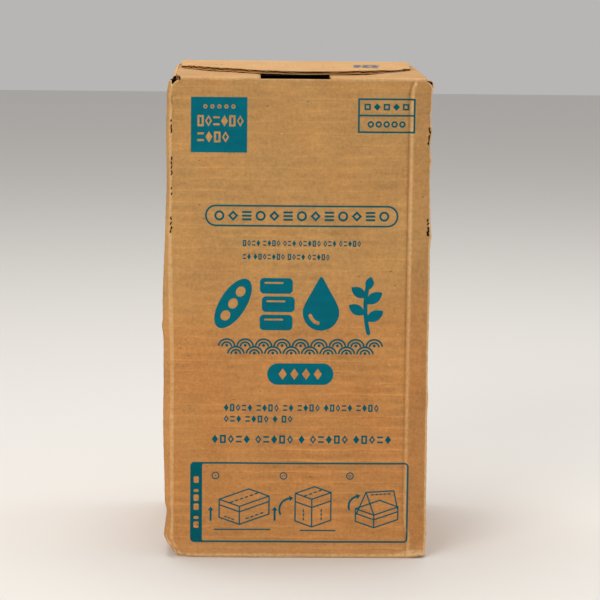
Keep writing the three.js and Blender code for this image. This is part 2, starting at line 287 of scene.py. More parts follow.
def wall_point(s, z):
    """A point of the walls' outer skin at girth s and height z, and its plain normal.
    The plain girth is pushed out by the swell of each wall, the flutes' waves, soft
    dents and the front's relief; then the two front edges, the leaning top and the
    crushed corner are moved as a whole."""
    s, z = np.broadcast_arrays(wrapped(s), np.asarray(z, float))
    x, y, out, wall, _ = wall_base(s)
    share = (np.mod(s + HALF_W, GIRTH) - WALL_START[wall]) / WALL_LENGTH[wall]
    up = np.clip(z / HEIGHT, 0, 1) ** (math.log(0.5) / math.log(SWELL_MIDDLE))
    push = np.array(SWELL)[wall] * np.sin(math.pi * up) * np.sin(math.pi * share)
    push = push + 0.05 * flute_share(s, z) * np.cos(TAU * z / FLUTE_PITCH)
    inner = plateau(share, 0, 0.12, 0.88, 1) * smooth(HEIGHT, HEIGHT - 25, z)
    push = push + inner * (0.22 * swirl(s, z, 60.0, seed=3) + 0.06 * swirl(s, z, 17.0, seed=4))
    near_front = np.abs(s) < HALF_W + 6
    push = push + np.where(near_front, front_relief(np.where(near_front, s, 0), z), 0)

    # The front's edges wander; the crease beside the left one stays straight. The left
    # wall's top leans in.
    from_left, from_right = s + HALF_W, s - HALF_W
    on_left = smooth(CORNER[0], -1, from_left)
    moved_x = -bells(z, LEFT_EDGE) * on_left * smooth(-HALF_D * 1.6, -12, from_left)
    lean = LEAN[0] - 0.5 * y / HALF_D
    lean = (lean + (LEAN[1] - lean) * smooth(-51, -60, y)) * smooth(LEAN_FROM, RIDGE_TOP - FOLD, z)
    moved_x = moved_x + lean * np.where(y > 0, smooth(-63.5, -70, x), on_left * (s < 0))
    right_run = 0.6 * smooth(130, 35, z) + 0.35 * smooth(200, 186, z) + bells(z, RIGHT_EDGE)
    moved_x = moved_x + right_run * plateau(from_right, -3, 2, 10, HALF_D)

    fade = np.where(from_left > 0, *CRUSH_REACH)
    near = np.exp(-np.maximum(np.abs(from_left) - 2, 0) ** 2 / fade)
    crush = np.clip(1 - z / CRUSH_HEIGHT, 0, 1) ** 1.4
    crumple = crush ** 0.5 * near * swirl(s, z, 6.5, seed=12)
    moved_x = moved_x + CRUSH_SHIFT[0] * crush * near + 0.4 * crumple
    moved_y = CRUSH_SHIFT[1] * crush * near + 0.3 * crumple
    return np.stack((x + out[..., 0] * push + moved_x, y + out[..., 1] * push + moved_y, z), -1), out


def wall_top(s):
    """Height of the walls' upper edge, where the folds of the end flaps begin: a line
    through one height for each wall, with the notches between the flaps."""
    front, side, back, ridge = (top - FOLD for top in (FRONT_TOP, SIDE_TOP, HEIGHT, RIDGE_TOP))
    knots = (
        (LEFT_START + 3, ridge), (-HALF_W - 0.6, ridge), (-HALF_W, ridge - 0.3),
        (-69.4, front - 1.6), (-68.4, front - 2.4), (-67.0, front - 2.3), (-65.4, front - 0.9),
        (-64.2, front - 0.1), (FRONT_EDGES[0], front),
        (FRONT_EDGES[1], front), (68.7, front - 0.4), (70.0, front - 1.6), (71.2, front - 3.0),
        (72.2, front - 3.5), (73.2, front - 2.8), (HALF_W + 4.5, front - 1.2), (HALF_W + 8, side),
        (BACK_START - 4.4, side), (BACK_START - 1, back - 1.2), (back_girth(rear_high[0]), back),
        (back_girth(rear_low[0]), back), (BACK_START + 2 * HALF_W - 1, back - 1),
        (LEFT_START + GIRTH + 3, ridge),
    )
    walked, heights = zip(*knots)
    return np.interp(np.mod(s - walked[0], GIRTH) + walked[0], walked, heights)


def wall_foot(s):
    """Height of the walls' lower edge: where the base flaps' folds begin at the front and
    the back, and lower on the side walls. The front's right corner is bent up."""
    x, y, _, wall, _ = wall_base(s)
    side = smooth(0, 5, np.abs(np.mod(s + HALF_W, GIRTH) - WALL_START[wall]))
    foot = np.where(wall % 2 == 1, FOOT_FOLD - (FOOT_FOLD - SIDE_FOOT) * side, FOOT_FOLD)
    beyond = smooth(base_high[0] - 0.3, base_high[0] + 0.8, np.abs(x)) * smooth(-HALF_D + 9, -HALF_D + 4, y)
    bent = plateau(s, LIFT_FROM, HALF_W, HALF_W + 2, HALF_W + 22)
    return foot + (CUT_FOOT - foot) * beyond + LIFT * bent


# ---------------------------------------------------------------- meshes

def make_piece(name, points, faces, material, attributes=None, flat=False):
    """A mesh object from an array of points in millimetres and arrays of faces, ridden on
    the only body. Its object stays at the origin."""
    mesh = bpy.data.meshes.new(name)
    corners = np.concatenate([block.ravel() for block in faces])
    sizes = np.concatenate([np.full(len(block), block.shape[1]) for block in faces])
    used, corners = np.unique(corners, return_inverse=True)
    mesh.vertices.add(len(used))
    mesh.vertices.foreach_set("co", (points[used] * MM).astype(np.float32).ravel())
    mesh.loops.add(len(corners))
    mesh.loops.foreach_set("vertex_index", corners.astype(np.int32))
    mesh.polygons.add(len(sizes))
    mesh.polygons.foreach_set("loop_start", (np.cumsum(sizes) - sizes).astype(np.int32))
    mesh.polygons.foreach_set("use_smooth", np.full(len(sizes), not flat))
    for key, values in (attributes or {}).items():
        layer = mesh.attributes.new(key, "FLOAT", "POINT")
        layer.data.foreach_set("value", np.asarray(values, np.float32).ravel()[used])
    mesh.update(calc_edges=True)
    mesh.validate()
    piece = bpy.data.objects.new(name, mesh)
    bpy.context.scene.collection.objects.link(piece)
    mesh.materials.append(material)
    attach(piece, "root")
    return piece


def outward(points, quads):
    """The same quads, turned round where the solid they close has a negative volume."""
    a, b, c, d = (points[quads[:, k]] for k in range(4))
    volume = (a * np.cross(b, c)).sum() + (a * np.cross(c, d)).sum()
    return quads if volume > 0 else quads[:, ::-1]


def closed_sheet(upper, lower, keep=None):
    """A closed plate between two skins that are sampled on the same grid. keep says which
    cells are there, and a wall closes every border between a cell that is and one that
    isn't."""
    rows, columns = upper.shape[:2]
    count = rows * columns
    if keep is None:
        keep = np.ones((rows - 1, columns - 1), bool)
    at = np.arange(count).reshape(rows, columns)
    top = np.stack((at[:-1, :-1], at[:-1, 1:], at[1:, 1:], at[1:, :-1]), -1)[keep]
    quads = [top, top[:, ::-1] + count]
    padded = np.pad(keep, 1)
    before_row, here_row = padded[:-1, 1:-1], padded[1:, 1:-1]
    before_column, here_column = padded[1:-1, :-1], padded[1:-1, 1:]
    for cells, p, q in ((here_row & ~before_row, at[:, 1:], at[:, :-1]),
                        (before_row & ~here_row, at[:, :-1], at[:, 1:]),
                        (here_column & ~before_column, at[:-1], at[1:]),
                        (before_column & ~here_column, at[1:], at[:-1])):
        quads.append(np.stack((p, q, q + count, p + count), -1)[cells])
    points = np.concatenate((upper.reshape(-1, 3), lower.reshape(-1, 3)))
    return points, outward(points, np.concatenate(quads))


def spaced(stops, steps):
    """Values that pass through every stop, with gaps near the step of each stretch."""
    parts = [np.linspace(a, b, max(1, round((b - a) / gap)) + 1)[:-1]
             for a, b, gap in zip(stops[:-1], stops[1:], steps)]
    return np.concatenate(parts + [np.array([stops[-1]])])


# ---------------------------------------------------------------- shader arithmetic

def wire(node, **sockets):
    """Sets a node's input sockets, by name or by number as _0 and _1, to values or to what
    other nodes put out."""
    for key, value in sockets.items():
        socket = node.inputs[int(key[1:])] if key[0] == "_" else node.inputs[key.replace("_", " ")]
        if isinstance(value, Pattern):
            node.id_data.links.new(value.socket, socket)
        else:
            socket.default_value = value
    return node


def worked_out(tree, kind, output, settings=None, **sockets):
    """One output of a new node of a kind, with its settings and input sockets."""
    node = tree.nodes.new("ShaderNode" + kind)
    for key, setting in (settings or {}).items():
        setattr(node, key, setting)
    return Pattern(wire(node, **sockets).outputs[output])


class Pattern:
    """A number, a vector or a colour that varies over a surface, as a node puts it out.
    Arithmetic on numbers adds the nodes that work it out."""

    def __init__(self, socket):
        self.socket = socket
        self.tree = socket.id_data

    def maths(self, operation, *others):
        sockets = {f"_{k}": value for k, value in enumerate((self, *others))}
        return worked_out(self.tree, "Math", 0, {"operation": operation}, **sockets)

    def __add__(self, other):
        return self.maths("ADD", other)

    def __sub__(self, other):
        return self.maths("SUBTRACT", other)

    def __mul__(self, other):
        return self.maths("MULTIPLY", other)

    def __rsub__(self, other):
        return self * -1 + other

    __radd__, __rmul__ = __add__, __mul__


def ramp(value, low, high, to_low=0.0, to_high=1.0):
    """A smooth step of value from low to high, onto to_low to to_high."""
    return worked_out(value.tree, "MapRange", "Result", {"interpolation_type": "SMOOTHSTEP"}, Value=value,
                      From_Min=low, From_Max=high, To_Min=to_low, To_Max=to_high)


def blend(tree, share, first, second, mode="MIX"):
    """Two colours mixed by share."""
    settings = {"data_type": "RGBA", "blend_type": mode}
    return worked_out(tree, "Mix", 2, settings, _0=share, _6=first, _7=second)


def noise(vector, scale, detail, rough):
    """Cloudy noise, 0 to 1, with detail octaves above scale."""
    return worked_out(vector.tree, "TexNoise", "Fac", Vector=vector, Scale=scale, Detail=detail,
                      Roughness=rough)


def stretched(vector, scale):
    """A vector multiplied axis by axis."""
    return worked_out(vector.tree, "VectorMath", 0, {"operation": "MULTIPLY"}, _0=vector, _1=scale)


def shaded(color, share):
    """A colour made lighter or darker by a share."""
    return worked_out(share.tree, "VectorMath", 0, {"operation": "SCALE"}, _0=color, Scale=share)


def millimetres(position, axis):
    """One axis of a position, in millimetres."""
    return worked_out(position.tree, "SeparateXYZ", axis, Vector=position) * 1000


def mask(tree, name):
    """A mask that the piece's points carry."""
    return worked_out(tree, "Attribute", "Fac", {"attribute_name": name})


def new_group(name, inputs, outputs):
    """An empty shader node group with named inputs and outputs. Returns the group, its
    inputs by name, and its output node."""
    group = bpy.data.node_groups.new(name, "ShaderNodeTree")
    for key, kind, value in inputs:
        socket = group.interface.new_socket(key, in_out="INPUT", socket_type="NodeSocket" + kind)
        socket.default_value = value
    for key, kind in outputs:
        group.interface.new_socket(key, in_out="OUTPUT", socket_type="NodeSocket" + kind)
    given = group.nodes.new("NodeGroupInput").outputs
    return group, {key: Pattern(given[key]) for key, _, _ in inputs}, group.nodes.new("NodeGroupOutput")


def placed_group(tree, group, **sockets):
    """A node group placed in a material: what it puts out, by name."""
    node = tree.nodes.new("ShaderNodeGroup")
    node.node_tree = group
    return {socket.name: Pattern(socket) for socket in wire(node, **sockets).outputs}


# ---------------------------------------------------------------- materials

def srgb(red, green, blue):
    """A screen colour, 0 to 255 each, as a linear colour with alpha."""
    values = np.array([red, green, blue]) / 255
    linear = np.where(values <= 0.04045, values / 12.92, ((values + 0.055) / 1.055) ** 2.4)
    return (*linear.tolist(), 1.0)


KRAFT = srgb(182, 137, 83)
# Painted warm reflection: the walls turn to this more orange tone from the middle down.
KRAFT_PAINTED_BOUNCE = srgb(186, 129, 73)
# The flaps' kraft, lighter than the walls': painted top light on the same board.
KRAFT_FLAP_LIT = srgb(200, 156, 106)
KRAFT_FRONT_FLAP_LIT = srgb(187, 144, 95)
# Pale for wear and for painted highlights on edges and folds.
PALE_WEAR_AND_HIGHLIGHT = srgb(226, 184, 130)
FLUTING_TONE = srgb(160, 118, 70)
# Painted shade: near-black put in tears, creases, folds, notches, inner faces and on the contents' top, where
# shade falls.
SHADE = srgb(24, 13, 7)
TEAL = srgb(0, 99, 114)
TEAL_LINE = srgb(0, 86, 96)
# Teal ink lightened into a pale blue: a painted sheen.
TEAL_PAINTED_SHEEN = srgb(92, 108, 126)
FLOOR_TONE = (0.78, 0.76, 0.73, 1.0)
PRESSED_TINT = (0.91, 0.90, 0.92, 1.0)      # the pressed strip is a little darker
STAIN_TINTS = ((0.985, 1.005, 0.985, 1.0), (1.02, 0.98, 0.92, 1.0))
STREAK_ACROSS, STREAK_ALONG = 430.0, 150.0  # how close the liner's streaks lie, per metre

SURFACE_OUTPUTS = (("Color", "Color"), ("Roughness", "Float"), ("Height", "Float"))


def specks(position, flecks, scale, share, size):
    """Specks, one in a few cells, of uneven size; scale is cells per metre along each axis."""
    tree = position.tree
    cells = tree.nodes.new("ShaderNodeTexVoronoi")
    wire(cells, Vector=stretched(position, scale), Scale=1.0)
    pick = worked_out(tree, "SeparateColor", "Red", Color=Pattern(cells.outputs["Color"]))
    gap = (pick - (1 - share)) * (size / share) - Pattern(cells.outputs["Distance"])
    return ramp(gap, 0.0, size * 0.5) * flecks


def kraft_liner_group():
    """Kraft liner: a tone broken by long streaks along the flutes, cloudy patches, fine fibres and flecks,
    with faint bands of painted light and shade where the flutes show through. Position is in metres, Streak
    scales it so that streaks run along the flutes, Across is the distance across the flutes in millimetres."""
    group, given, result = new_group("kraft_liner", (
        ("Position", "Vector", (0, 0, 0)), ("Streak", "Vector", (STREAK_ALONG, STREAK_ALONG, STREAK_ACROSS)),
        ("Across", "Float", 0.0), ("Tone", "Color", KRAFT), ("Bands", "Float", 1.0),
        ("Flecks", "Float", 1.0)), SURFACE_OUTPUTS)
    position, flecks = given["Position"], given["Flecks"]

    def streaky(scale, detail=2.0, rough=0.5):
        return noise(stretched(position, stretched(given["Streak"], scale)), 1.0, detail, rough)

    streaks = streaky((1, 1, 1), 4.0, 0.6)
    grain = noise(position, 620.0, 4.0, 0.65)
    fibres = noise(stretched(position, (900, 900, 2600)), 1.0, 2.0, 0.5)
    upright = noise(stretched(position, (620, 620, 130)), 1.0, 3.0, 0.6)
    drift = noise(position, 70.0, 1.0, 0.5)

    # Flutes: a level wave, painted light and shade of the washboard, and on some crests a painted highlight
    # on one side with painted shade on the other.
    phase = given["Across"] * (TAU / FLUTE_PITCH) + drift * 2.2
    wave = phase.maths("COSINE")
    band = wave * given["Bands"]
    crest = wave.maths("MAXIMUM", 0.0).maths("POWER", 6.0) * given["Bands"]
    lit = phase.maths("SINE") * crest * ramp(streaky((0.16, 0.16, 0.3)), 0.38, 0.56)
    value = 1 + band * ramp(drift, 0.3, 0.6) * 0.085 + lit * 0.45

    for layer, weight in ((streaks, 0.42), (streaky((0.4, 0.4, 0.6)), 0.20), (upright, 0.20),
                          (noise(position, 42.0, 3.0, 0.5), 0.36), (grain, 0.66), (fibres, 0.16)):
        value = value + (layer - 0.5) * weight
    dark = specks(position, flecks, (210, 210, 330), 0.20, 0.18).maths(
        "MAXIMUM", specks(position, flecks, (120, 120, 420), 0.16, 0.16))
    pale = specks(position, flecks, (220, 220, 380), 0.18, 0.19)
    value = value - dark * 0.48 + pale * 0.38

    warmth = ramp(noise(position, 32.0, 3.0, 0.6), 0.32, 0.68)
    tone = blend(group, 1.0, given["Tone"], blend(group, warmth, *STAIN_TINTS), "MULTIPLY")
    dents = streaky((1.2, 1.2, 0.8), 2.0, 0.6)
    height = band * 0.03 + grain * 0.05 + fibres * 0.03 + dents * 0.30 - dark * 0.10 + pale * 0.08
    wire(result, Color=shaded(tone, value), Roughness=ramp(streaks, 0.2, 0.8, 0.78, 0.92), Height=height)
    return group


def wear_and_painted_light_group():
    """Pale where folds and edges wear and where highlights are painted, dark where shade is painted. Both are
    masks from the piece, the first broken up by a fine noise on Position."""
    group, given, result = new_group("wear_and_painted_light", (
        ("Color", "Color", KRAFT), ("Position", "Vector", (0, 0, 0)), ("Worn", "Float", 0.0),
        ("Torn", "Float", 0.0), ("Pale", "Color", PALE_WEAR_AND_HIGHLIGHT), ("Dark", "Color", SHADE)),
        (("Color", "Color"),))
    speckle = noise(given["Position"], 480.0, 3.0, 0.6)
    worn = (given["Worn"] * ramp(speckle, 0.25, 0.7, 0.45, 1.15)).maths("MINIMUM", 1.0)
    color = blend(group, worn, given["Color"], given["Pale"])
    wire(result, Color=blend(group, ramp(given["Torn"], 0.15, 0.7), color, given["Dark"]))
    return group


def ink_cover_group():
    """Water based ink on kraft: the ink's tone with a cloudy coverage, pinholes of bare
    board, and a darker squeeze on the flutes' crests."""
    group, given, result = new_group("ink_cover", (
        ("Position", "Vector", (0, 0, 0)), ("Across", "Float", 0.0), ("Ink", "Color", TEAL),
        ("Board", "Color", KRAFT), ("Cover", "Float", 1.0)), SURFACE_OUTPUTS)
    clouds = noise(given["Position"], 110.0, 4.0, 0.6)
    grain = noise(given["Position"], 1300.0, 3.0, 0.6)
    band = (given["Across"] * (TAU / FLUTE_PITCH)).maths("COSINE")
    value = 1 + (clouds - 0.5) * 0.42 + (grain - 0.5) * 0.30 - band * 0.03
    bare = ramp(grain, 0.66, 0.78, 0.0, 0.1) + (1 - given["Cover"])
    wire(result, Color=blend(group, bare, shaded(given["Ink"], value), given["Board"]),
         Roughness=ramp(clouds, 0.3, 0.7, 0.52, 0.68), Height=grain * 0.03)
    return group


LINER_GROUP = kraft_liner_group()
WEAR_AND_LIGHT_GROUP = wear_and_painted_light_group()
INK_GROUP = ink_cover_group()


def new_material(name, roughness, specular):
    """A material, its shader, and the object coordinates that its patterns read."""
    material = bpy.data.materials.new(name)
    material.use_nodes = True
    tree = material.node_tree
    shader = wire(tree.nodes["Principled BSDF"], Roughness=roughness, Specular_IOR_Level=specular)
    return material, shader, worked_out(tree, "TexCoord", "Object")


def bump(shader, height):
    """Lets a height in millimetres tilt the shader's normal."""
    wire(shader, Normal=worked_out(height.tree, "Bump", "Normal", Height=height, Strength=1.0, Distance=MM))


def board_material(name, tone, across, bounce_tone=None):
    """Kraft board whose flutes run across the given axis, with the piece's own wear, painted highlights and
    painted shade. From the middle of the carton down the tone turns to a second, more orange one: a painted
    warm reflection of light bouncing up."""
    material, shader, position = new_material(name, roughness=0.85, specular=0.3)
    tree = position.tree
    if bounce_tone is not None:
        tone = blend(tree, ramp(millimetres(position, "Z"), 95.0, 175.0), bounce_tone, tone)
    tone = blend(tree, mask(tree, "pressed"), tone, blend(tree, 1.0, tone, PRESSED_TINT, "MULTIPLY"))
    streak = [STREAK_ACROSS if axis == across else STREAK_ALONG for axis in "XYZ"]
    liner = placed_group(tree, LINER_GROUP, Position=position, Streak=streak, Tone=tone,
                         Across=millimetres(position, across), Bands=mask(tree, "bands"))
    worn = placed_group(tree, WEAR_AND_LIGHT_GROUP, Color=liner["Color"], Position=position,
                        Worn=mask(tree, "worn"), Torn=mask(tree, "torn"))
    wire(shader, Base_Color=worn["Color"], Roughness=liner["Roughness"])
    bump(shader, liner["Height"])
    return material


def plain_board_material(name, tone, scale, depth):
    """Raw board seen at a cut or inside: one tone broken by a coarse noise, turned dark by painted shade
    where the piece's mask asks for it."""
    material, shader, position = new_material(name, roughness=0.9, specular=0.15)
    clumps = noise(position, scale, 4.0, 0.6)
    color = shaded(tone[:3], ramp(clumps, 0.25, 0.75, 0.75, 1.2))
    wire(shader, Base_Color=blend(position.tree, mask(position.tree, "torn"), color, SHADE))
    bump(shader, clumps * depth)
    return material


def ink_material(name, ink, across, cover=1.0):
    """One ink, with the flutes running across the given axis."""
    material, shader, position = new_material(name, roughness=0.6, specular=0.05)
    film = placed_group(position.tree, INK_GROUP, Position=position, Ink=ink, Cover=cover,
                        Across=millimetres(position, across))
    wire(shader, Base_Color=film["Color"], Roughness=film["Roughness"])
    bump(shader, film["Height"])
    return material


WALL_BOARD = board_material("wall_kraft", KRAFT, "Z", bounce_tone=KRAFT_PAINTED_BOUNCE)
FLAP_BOARD = board_material("flap_kraft", KRAFT_FLAP_LIT, "Y")
FRONT_FLAP_BOARD = board_material("front_flap_kraft", KRAFT_FRONT_FLAP_LIT, "Y")
SIDE_FLAP_BOARD = board_material("side_flap_kraft", KRAFT_FLAP_LIT, "X")
FLUTING_BOARD = plain_board_material("fluting_paper", FLUTING_TONE, 300.0, 0.1)
# The contents' top under the slot and notches is painted near-black as shade.
DARK_BOARD = plain_board_material("shaded_inside", SHADE, 120.0, 0.2)
INK = ink_material("teal_ink", TEAL, "Z")
LINE_INK = ink_material("teal_line_ink", TEAL_LINE, "Z")
TOP_INK = ink_material("teal_ink_painted_sheen", TEAL_PAINTED_SHEEN, "Y", cover=0.9)


# ---------------------------------------------------------------- walls

def wall_wear_and_highlight(s, z, top, foot, notch, bend):
    """Where the walls are made pale, by wear and by painted highlight: both front edges, the lip of the
    crease, the crushed corner, the foot with a wedge at its right, the cut notches, and faintly every rounded
    corner. The right edge, the crease's lip, the foot, the notches' rims and the corners are painted
    highlight; the left edge and the crushed corner are wear with painted highlight."""
    right_run = s - HALF_W
    drift = s - 1.9 * smooth(200, 100, z)
    rubbed_and_lit = (0.5 * plateau(drift, -70.3, -69.4, -68.1, -67.3)
              + 0.9 * plateau(right_run, -0.6, 0.2, 1.6, 2.6))
    lip = (0.45 + 0.22 * smooth(100, 190, z)) * bell(s - crease_line(z), 1.1, 0.8) * crease_height(z)
    crushed = 0.8 * bell(s, -70.6, 0.9) * smooth(13.5, 9, z)
    wedge = 1.4 + 3.6 * smooth(42, 69, s)
    at_foot = 0.6 * smooth(50, 60, s) * smooth(wedge + 0.5, wedge - 0.5, z) * (right_run < 2)
    at_foot = at_foot + 0.14 * smooth(12, 5, z) + 0.8 * smooth(foot + 1.9, foot + 0.3, z)
    cut = 0.9 * notch * smooth(top - 1.1, top - 0.4, z)
    return rubbed_and_lit + 0.1 * bend * (1 - np.minimum(rubbed_and_lit, 1)) + lip + crushed + at_foot + cut


def wall_painted_shade(s, z):
    """Painted shade on the walls: in the perforations' tears, browner in the two highest, along the crease's
    left flank, and down the left edge under the crushed top."""
    slits = (0.9 - 0.5 * smooth(241, 245, z)) * slit_mask(s, z) * (np.abs(s) < HALF_W + 3)
    crease = 0.37 * bell(s - crease_line(z), -0.45, 0.75) * crease_height(z) * (1 - 0.1 * smooth(160, 60, z))
    return slits + crease + 0.22 * bell(s, -71.8, 0.8) * smooth(205, 225, z)


def build_walls():
    """The four walls as one closed shell: the outer skin row by row from foot to top, then
    down the inner skin, which lies a board's thickness inside."""
    edge_step = 0.34
    behind = LEFT_START + GIRTH
    stops = [LEFT_START + 4, -76.0, -62.5, CREASE_X - 5, CREASE_X + 6, 66.5, 74.5, BACK_START - 4,
             BACK_START + 4, behind - 4, behind + 4]
    s = spaced(stops, [4.0, edge_step, 2.4, 0.5, 2.0, edge_step, 4.0, 0.8, 4.0, 0.8])[:-1]
    low, high = 13.0, 252.0     # rows between these are level, those beyond follow the two edges
    top, foot = wall_top(s), wall_foot(s)
    below = foot + np.linspace(0, 1, 19)[:-1, None] * (low - foot)
    levels = spaced([low, 176.0, high], [1.1, 0.6])
    above = high + np.linspace(0, 1, 13)[1:, None] * (top - high)
    z = np.concatenate((below, levels[:, None] + 0 * s, above))
    s_grid = np.broadcast_to(s, z.shape)
    bend = wall_base(s_grid)[4]

    inner_z = np.stack((top - 0.05, top - 0.8, top - 12, foot + 8, foot + 0.05))
    inner, inner_out = wall_point(np.broadcast_to(s, inner_z.shape), inner_z)
    notch = np.maximum(plateau(s, *LEFT_NOTCH), plateau(s, *RIGHT_NOTCH))
    # Of the inner skin's rows, those that a notch thins, those painted dark as shade, and the one that a
    # notch darkens with painted shade.
    thin_row, dark_row, cut_row = (np.array(rows)[:, None] for rows in (
        (1, 1, 0, 0, 0), (0, 1, 1, 1, 0), (1, 0, 0, 0, 0)))
    board = BOARD - 0.2 - 2 * notch * thin_row
    inner[..., :2] -= inner_out * board[..., None]

    points = np.concatenate((wall_point(s_grid, z)[0], inner))
    rows, columns = points.shape[:2]
    at = np.arange(rows * columns).reshape(rows, columns)
    up, along = np.roll(at, -1, 0), np.roll(at, -1, 1)
    quads = np.stack((at, along, np.roll(up, -1, 1), up), -1).reshape(-1, 4)
    points = points.reshape(-1, 3)

    lower_right = smooth(-40, 20, s_grid) * smooth(135, 85, z)
    on_strip = smooth(-0.5, 1, s_grid - crease_line(z)) * smooth(HALF_W + 4, HALF_W - 1, s_grid)
    none = 0 * inner_z
    # The walls' masks: pale for wear and painted highlight, dark for painted shade.
    attributes = {key: np.concatenate(values) for key, values in {
        "worn": (wall_wear_and_highlight(s_grid, z, top, foot, notch, bend), none),
        "torn": (wall_painted_shade(s_grid, z), none + dark_row + cut_row * notch),
        "bands": (flute_share(s_grid, z) * (0.85 + 0.75 * lower_right), none),
        "pressed": (on_strip, none)}.items()}
    piece = make_piece("walls", points, [outward(points, quads)], WALL_BOARD, attributes)
    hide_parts("carton_body")


# ---------------------------------------------------------------- flaps

def nothing(s, inward):
    """0 everywhere."""
    return 0 * s


def new_flap(node, inward, **own):
    """A flap's shape, over the plain one of the top end. inward is the way that it lies.
    Over girth and the distance inwards: relief lifts the sheet, slide moves it along the
    hinge's axis, and pinch is the share of its thickness lost where it is pressed down.
    reach is its length over girth, dark is a mask of painted shade over girth and walk."""
    plain = {"edge": wall_top, "up": 1, "fold": FOLD, "fold_wear": 0.4, "thick": FLAP_BOARD_THICK,
             "slide": nothing, "pinch": nothing, "dark": nothing, "board": FLAP_BOARD, "slot": "flap_board"}
    return SimpleNamespace(**{**plain, **own}, node=node, inward=inward)


def flap_points(flap, s, walk, depth):
    """A point of a flap. s is the girth at its hinge, walk the distance from the hinge
    over the fold and inwards, depth how far below the outer skin. The section is a
    quarter circle of the fold's radius and then a level line."""
    hinge, _ = wall_point(s, flap.edge(s))
    turn = np.clip(walk / flap.fold, 0, QUARTER)
    inward = flap.fold - (flap.fold - depth) * np.cos(turn) + np.maximum(walk - flap.fold * QUARTER, 0)
    rise = (flap.fold - depth) * np.sin(turn) + flap.relief(s, inward) * smooth(0, 3, walk)
    rise = rise - flap.pinch(s, inward) * (flap.thick - depth)
    along = flap.slide(s, inward)
    x = hinge[..., 0] + flap.inward[0] * inward + abs(flap.inward[1]) * along
    y = hinge[..., 1] + flap.inward[1] * inward + abs(flap.inward[0]) * along
    return np.stack((x, y, hinge[..., 2] + flap.up * rise), -1)


def build_flap(name, flap, s, slot_hole=None):
    """One flap: an outer and an inner liner, with the waved fluting between them, which
    shows at the cut edges."""
    arc = flap.fold * QUARTER
    reach = flap.reach(s) - flap.fold + arc
    inner_start = arc + max(flap.thick - flap.fold, 0)

    def kept(walk):
        """The cells of a grid that the slot leaves."""
        if slot_hole is None:
            return None
        left, right, near, far = slot_hole
        middle_s = 0.5 * (s[1:] + s[:-1])
        inward = np.where(walk < arc, flap.fold * (1 - np.cos(walk / flap.fold)), walk - arc + flap.fold)
        middle = 0.25 * (inward[1:, 1:] + inward[:-1, 1:] + inward[1:, :-1] + inward[:-1, :-1])
        return ~((middle_s > left) & (middle_s < right) & (middle > near) & (middle < far))

    def sheet(walk, high, low):
        s_grid = np.broadcast_to(s, walk.shape)
        upper, lower = (flap_points(flap, s_grid, walk, depth) for depth in (high, low))
        return closed_sheet(upper, lower, kept(walk))

    walk = np.concatenate((np.linspace(0, 1, 9)[:-1, None] * arc + 0 * reach,
                           arc + flap.levels[:, None] * (reach - arc)))
    inner_walk = inner_start + flap.levels[:, None] * (reach - inner_start)
    points, quads = sheet(walk, 0.0, LINER)
    inner_points, inner_quads = sheet(inner_walk, flap.thick - LINER, flap.thick)

    s_grid = np.broadcast_to(s, walk.shape)
    # Pale at the fold and along the free edge: painted highlight, with some wear.
    worn = flap.fold_wear * bell(walk, 2.4, 0.8) + 0.45 * smooth(1.6, 0, reach - walk)
    worn = np.clip(worn + 0.12 * swirl(s_grid, walk, 30.0, seed=flap.seed), 0, 1)
    none = np.zeros(len(inner_points))
    attributes = {key: np.concatenate((values.ravel(), values.ravel(), none)) for key, values in {
        "worn": worn, "torn": flap.dark(s_grid, walk), "bands": smooth(4, 9, walk)}.items()}
    quads = np.concatenate((quads, inner_quads + len(points)))
    points = np.concatenate((points, inner_points))
    piece = make_piece(name, points, [quads], flap.board, attributes)
    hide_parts(flap.node)

    walk = inner_start + spaced([0, 1], [0.5 / reach.max()])[:, None] * (reach - inner_start)
    swing = 0.5 * flap.thick - LINER - 0.5 * FLUTING - 0.02
    centre = 0.5 * flap.thick + swing * np.cos(TAU * walk / FLUTE_PITCH + flap.seed)
    points, quads = sheet(walk, centre - 0.5 * FLUTING, centre + 0.5 * FLUTING)
    # The fluting is painted dark as shade where the flap is pressed shut.
    shut = smooth(0.1, 0.4, flap.pinch(np.broadcast_to(s, walk.shape), walk - arc + flap.fold)).ravel()
    make_piece(name + "_fluting", points, [quads], FLUTING_BOARD, {"torn": np.tile(shut, 2)})


def sheet_waves(s, inward, seed, height=0.12):
    """Soft waves of a flap's sheet and the faint washboard of its flutes."""
    washboard = 0.04 * np.cos(TAU * inward / FLUTE_PITCH)
    return (height * swirl(s, inward, 34.0, seed) + washboard) * smooth(3, 14, inward)


def build_front_flap():
    """Folded back from the front wall, with a square finger slot right behind the fold."""
    left, right = FRONT_EDGES
    reach = front_high[1] + HALF_D

    def slide(s, inward):
        """The left end spreads over the side flap's fold, the right end draws in and then
        spreads towards the back."""
        spread = 1.7 * smooth(4, 22, inward) + 0.8 * smooth(20, 31, inward) - 0.3 * smooth(32, 55, inward)
        drawn = 0.5 - 0.9 * smooth(0, 60, inward) - 0.5 * smooth(60, 125, inward)
        return -spread * smooth(-45, left, s) - drawn * smooth(50, right, s)

    def dark(s, walk):
        """Painted shade: the left end beside the crushed corner, and a faint line along the hinge."""
        return smooth(left + 0.9, left + 0.3, s) * smooth(7, 4, walk) + 0.16 * smooth(1.5, 0.6, walk)

    build_flap("front_flap", new_flap(
        "front_end_flap", (0, 1), reach=lambda s: reach + 0 * s, slide=slide, dark=dark, seed=31,
        relief=lambda s, inward: sheet_waves(s, inward, 31), board=FRONT_FLAP_BOARD,
        levels=spaced([0, SLOT[3] - FOLD, reach - FOLD], [1.5, 3.0]) / (reach - FOLD)),
        spaced([left, left + 3, SLOT[0], SLOT[1], right - 3, right], [0.5, 2.2, 2.1, 2.2, 0.5]), SLOT)


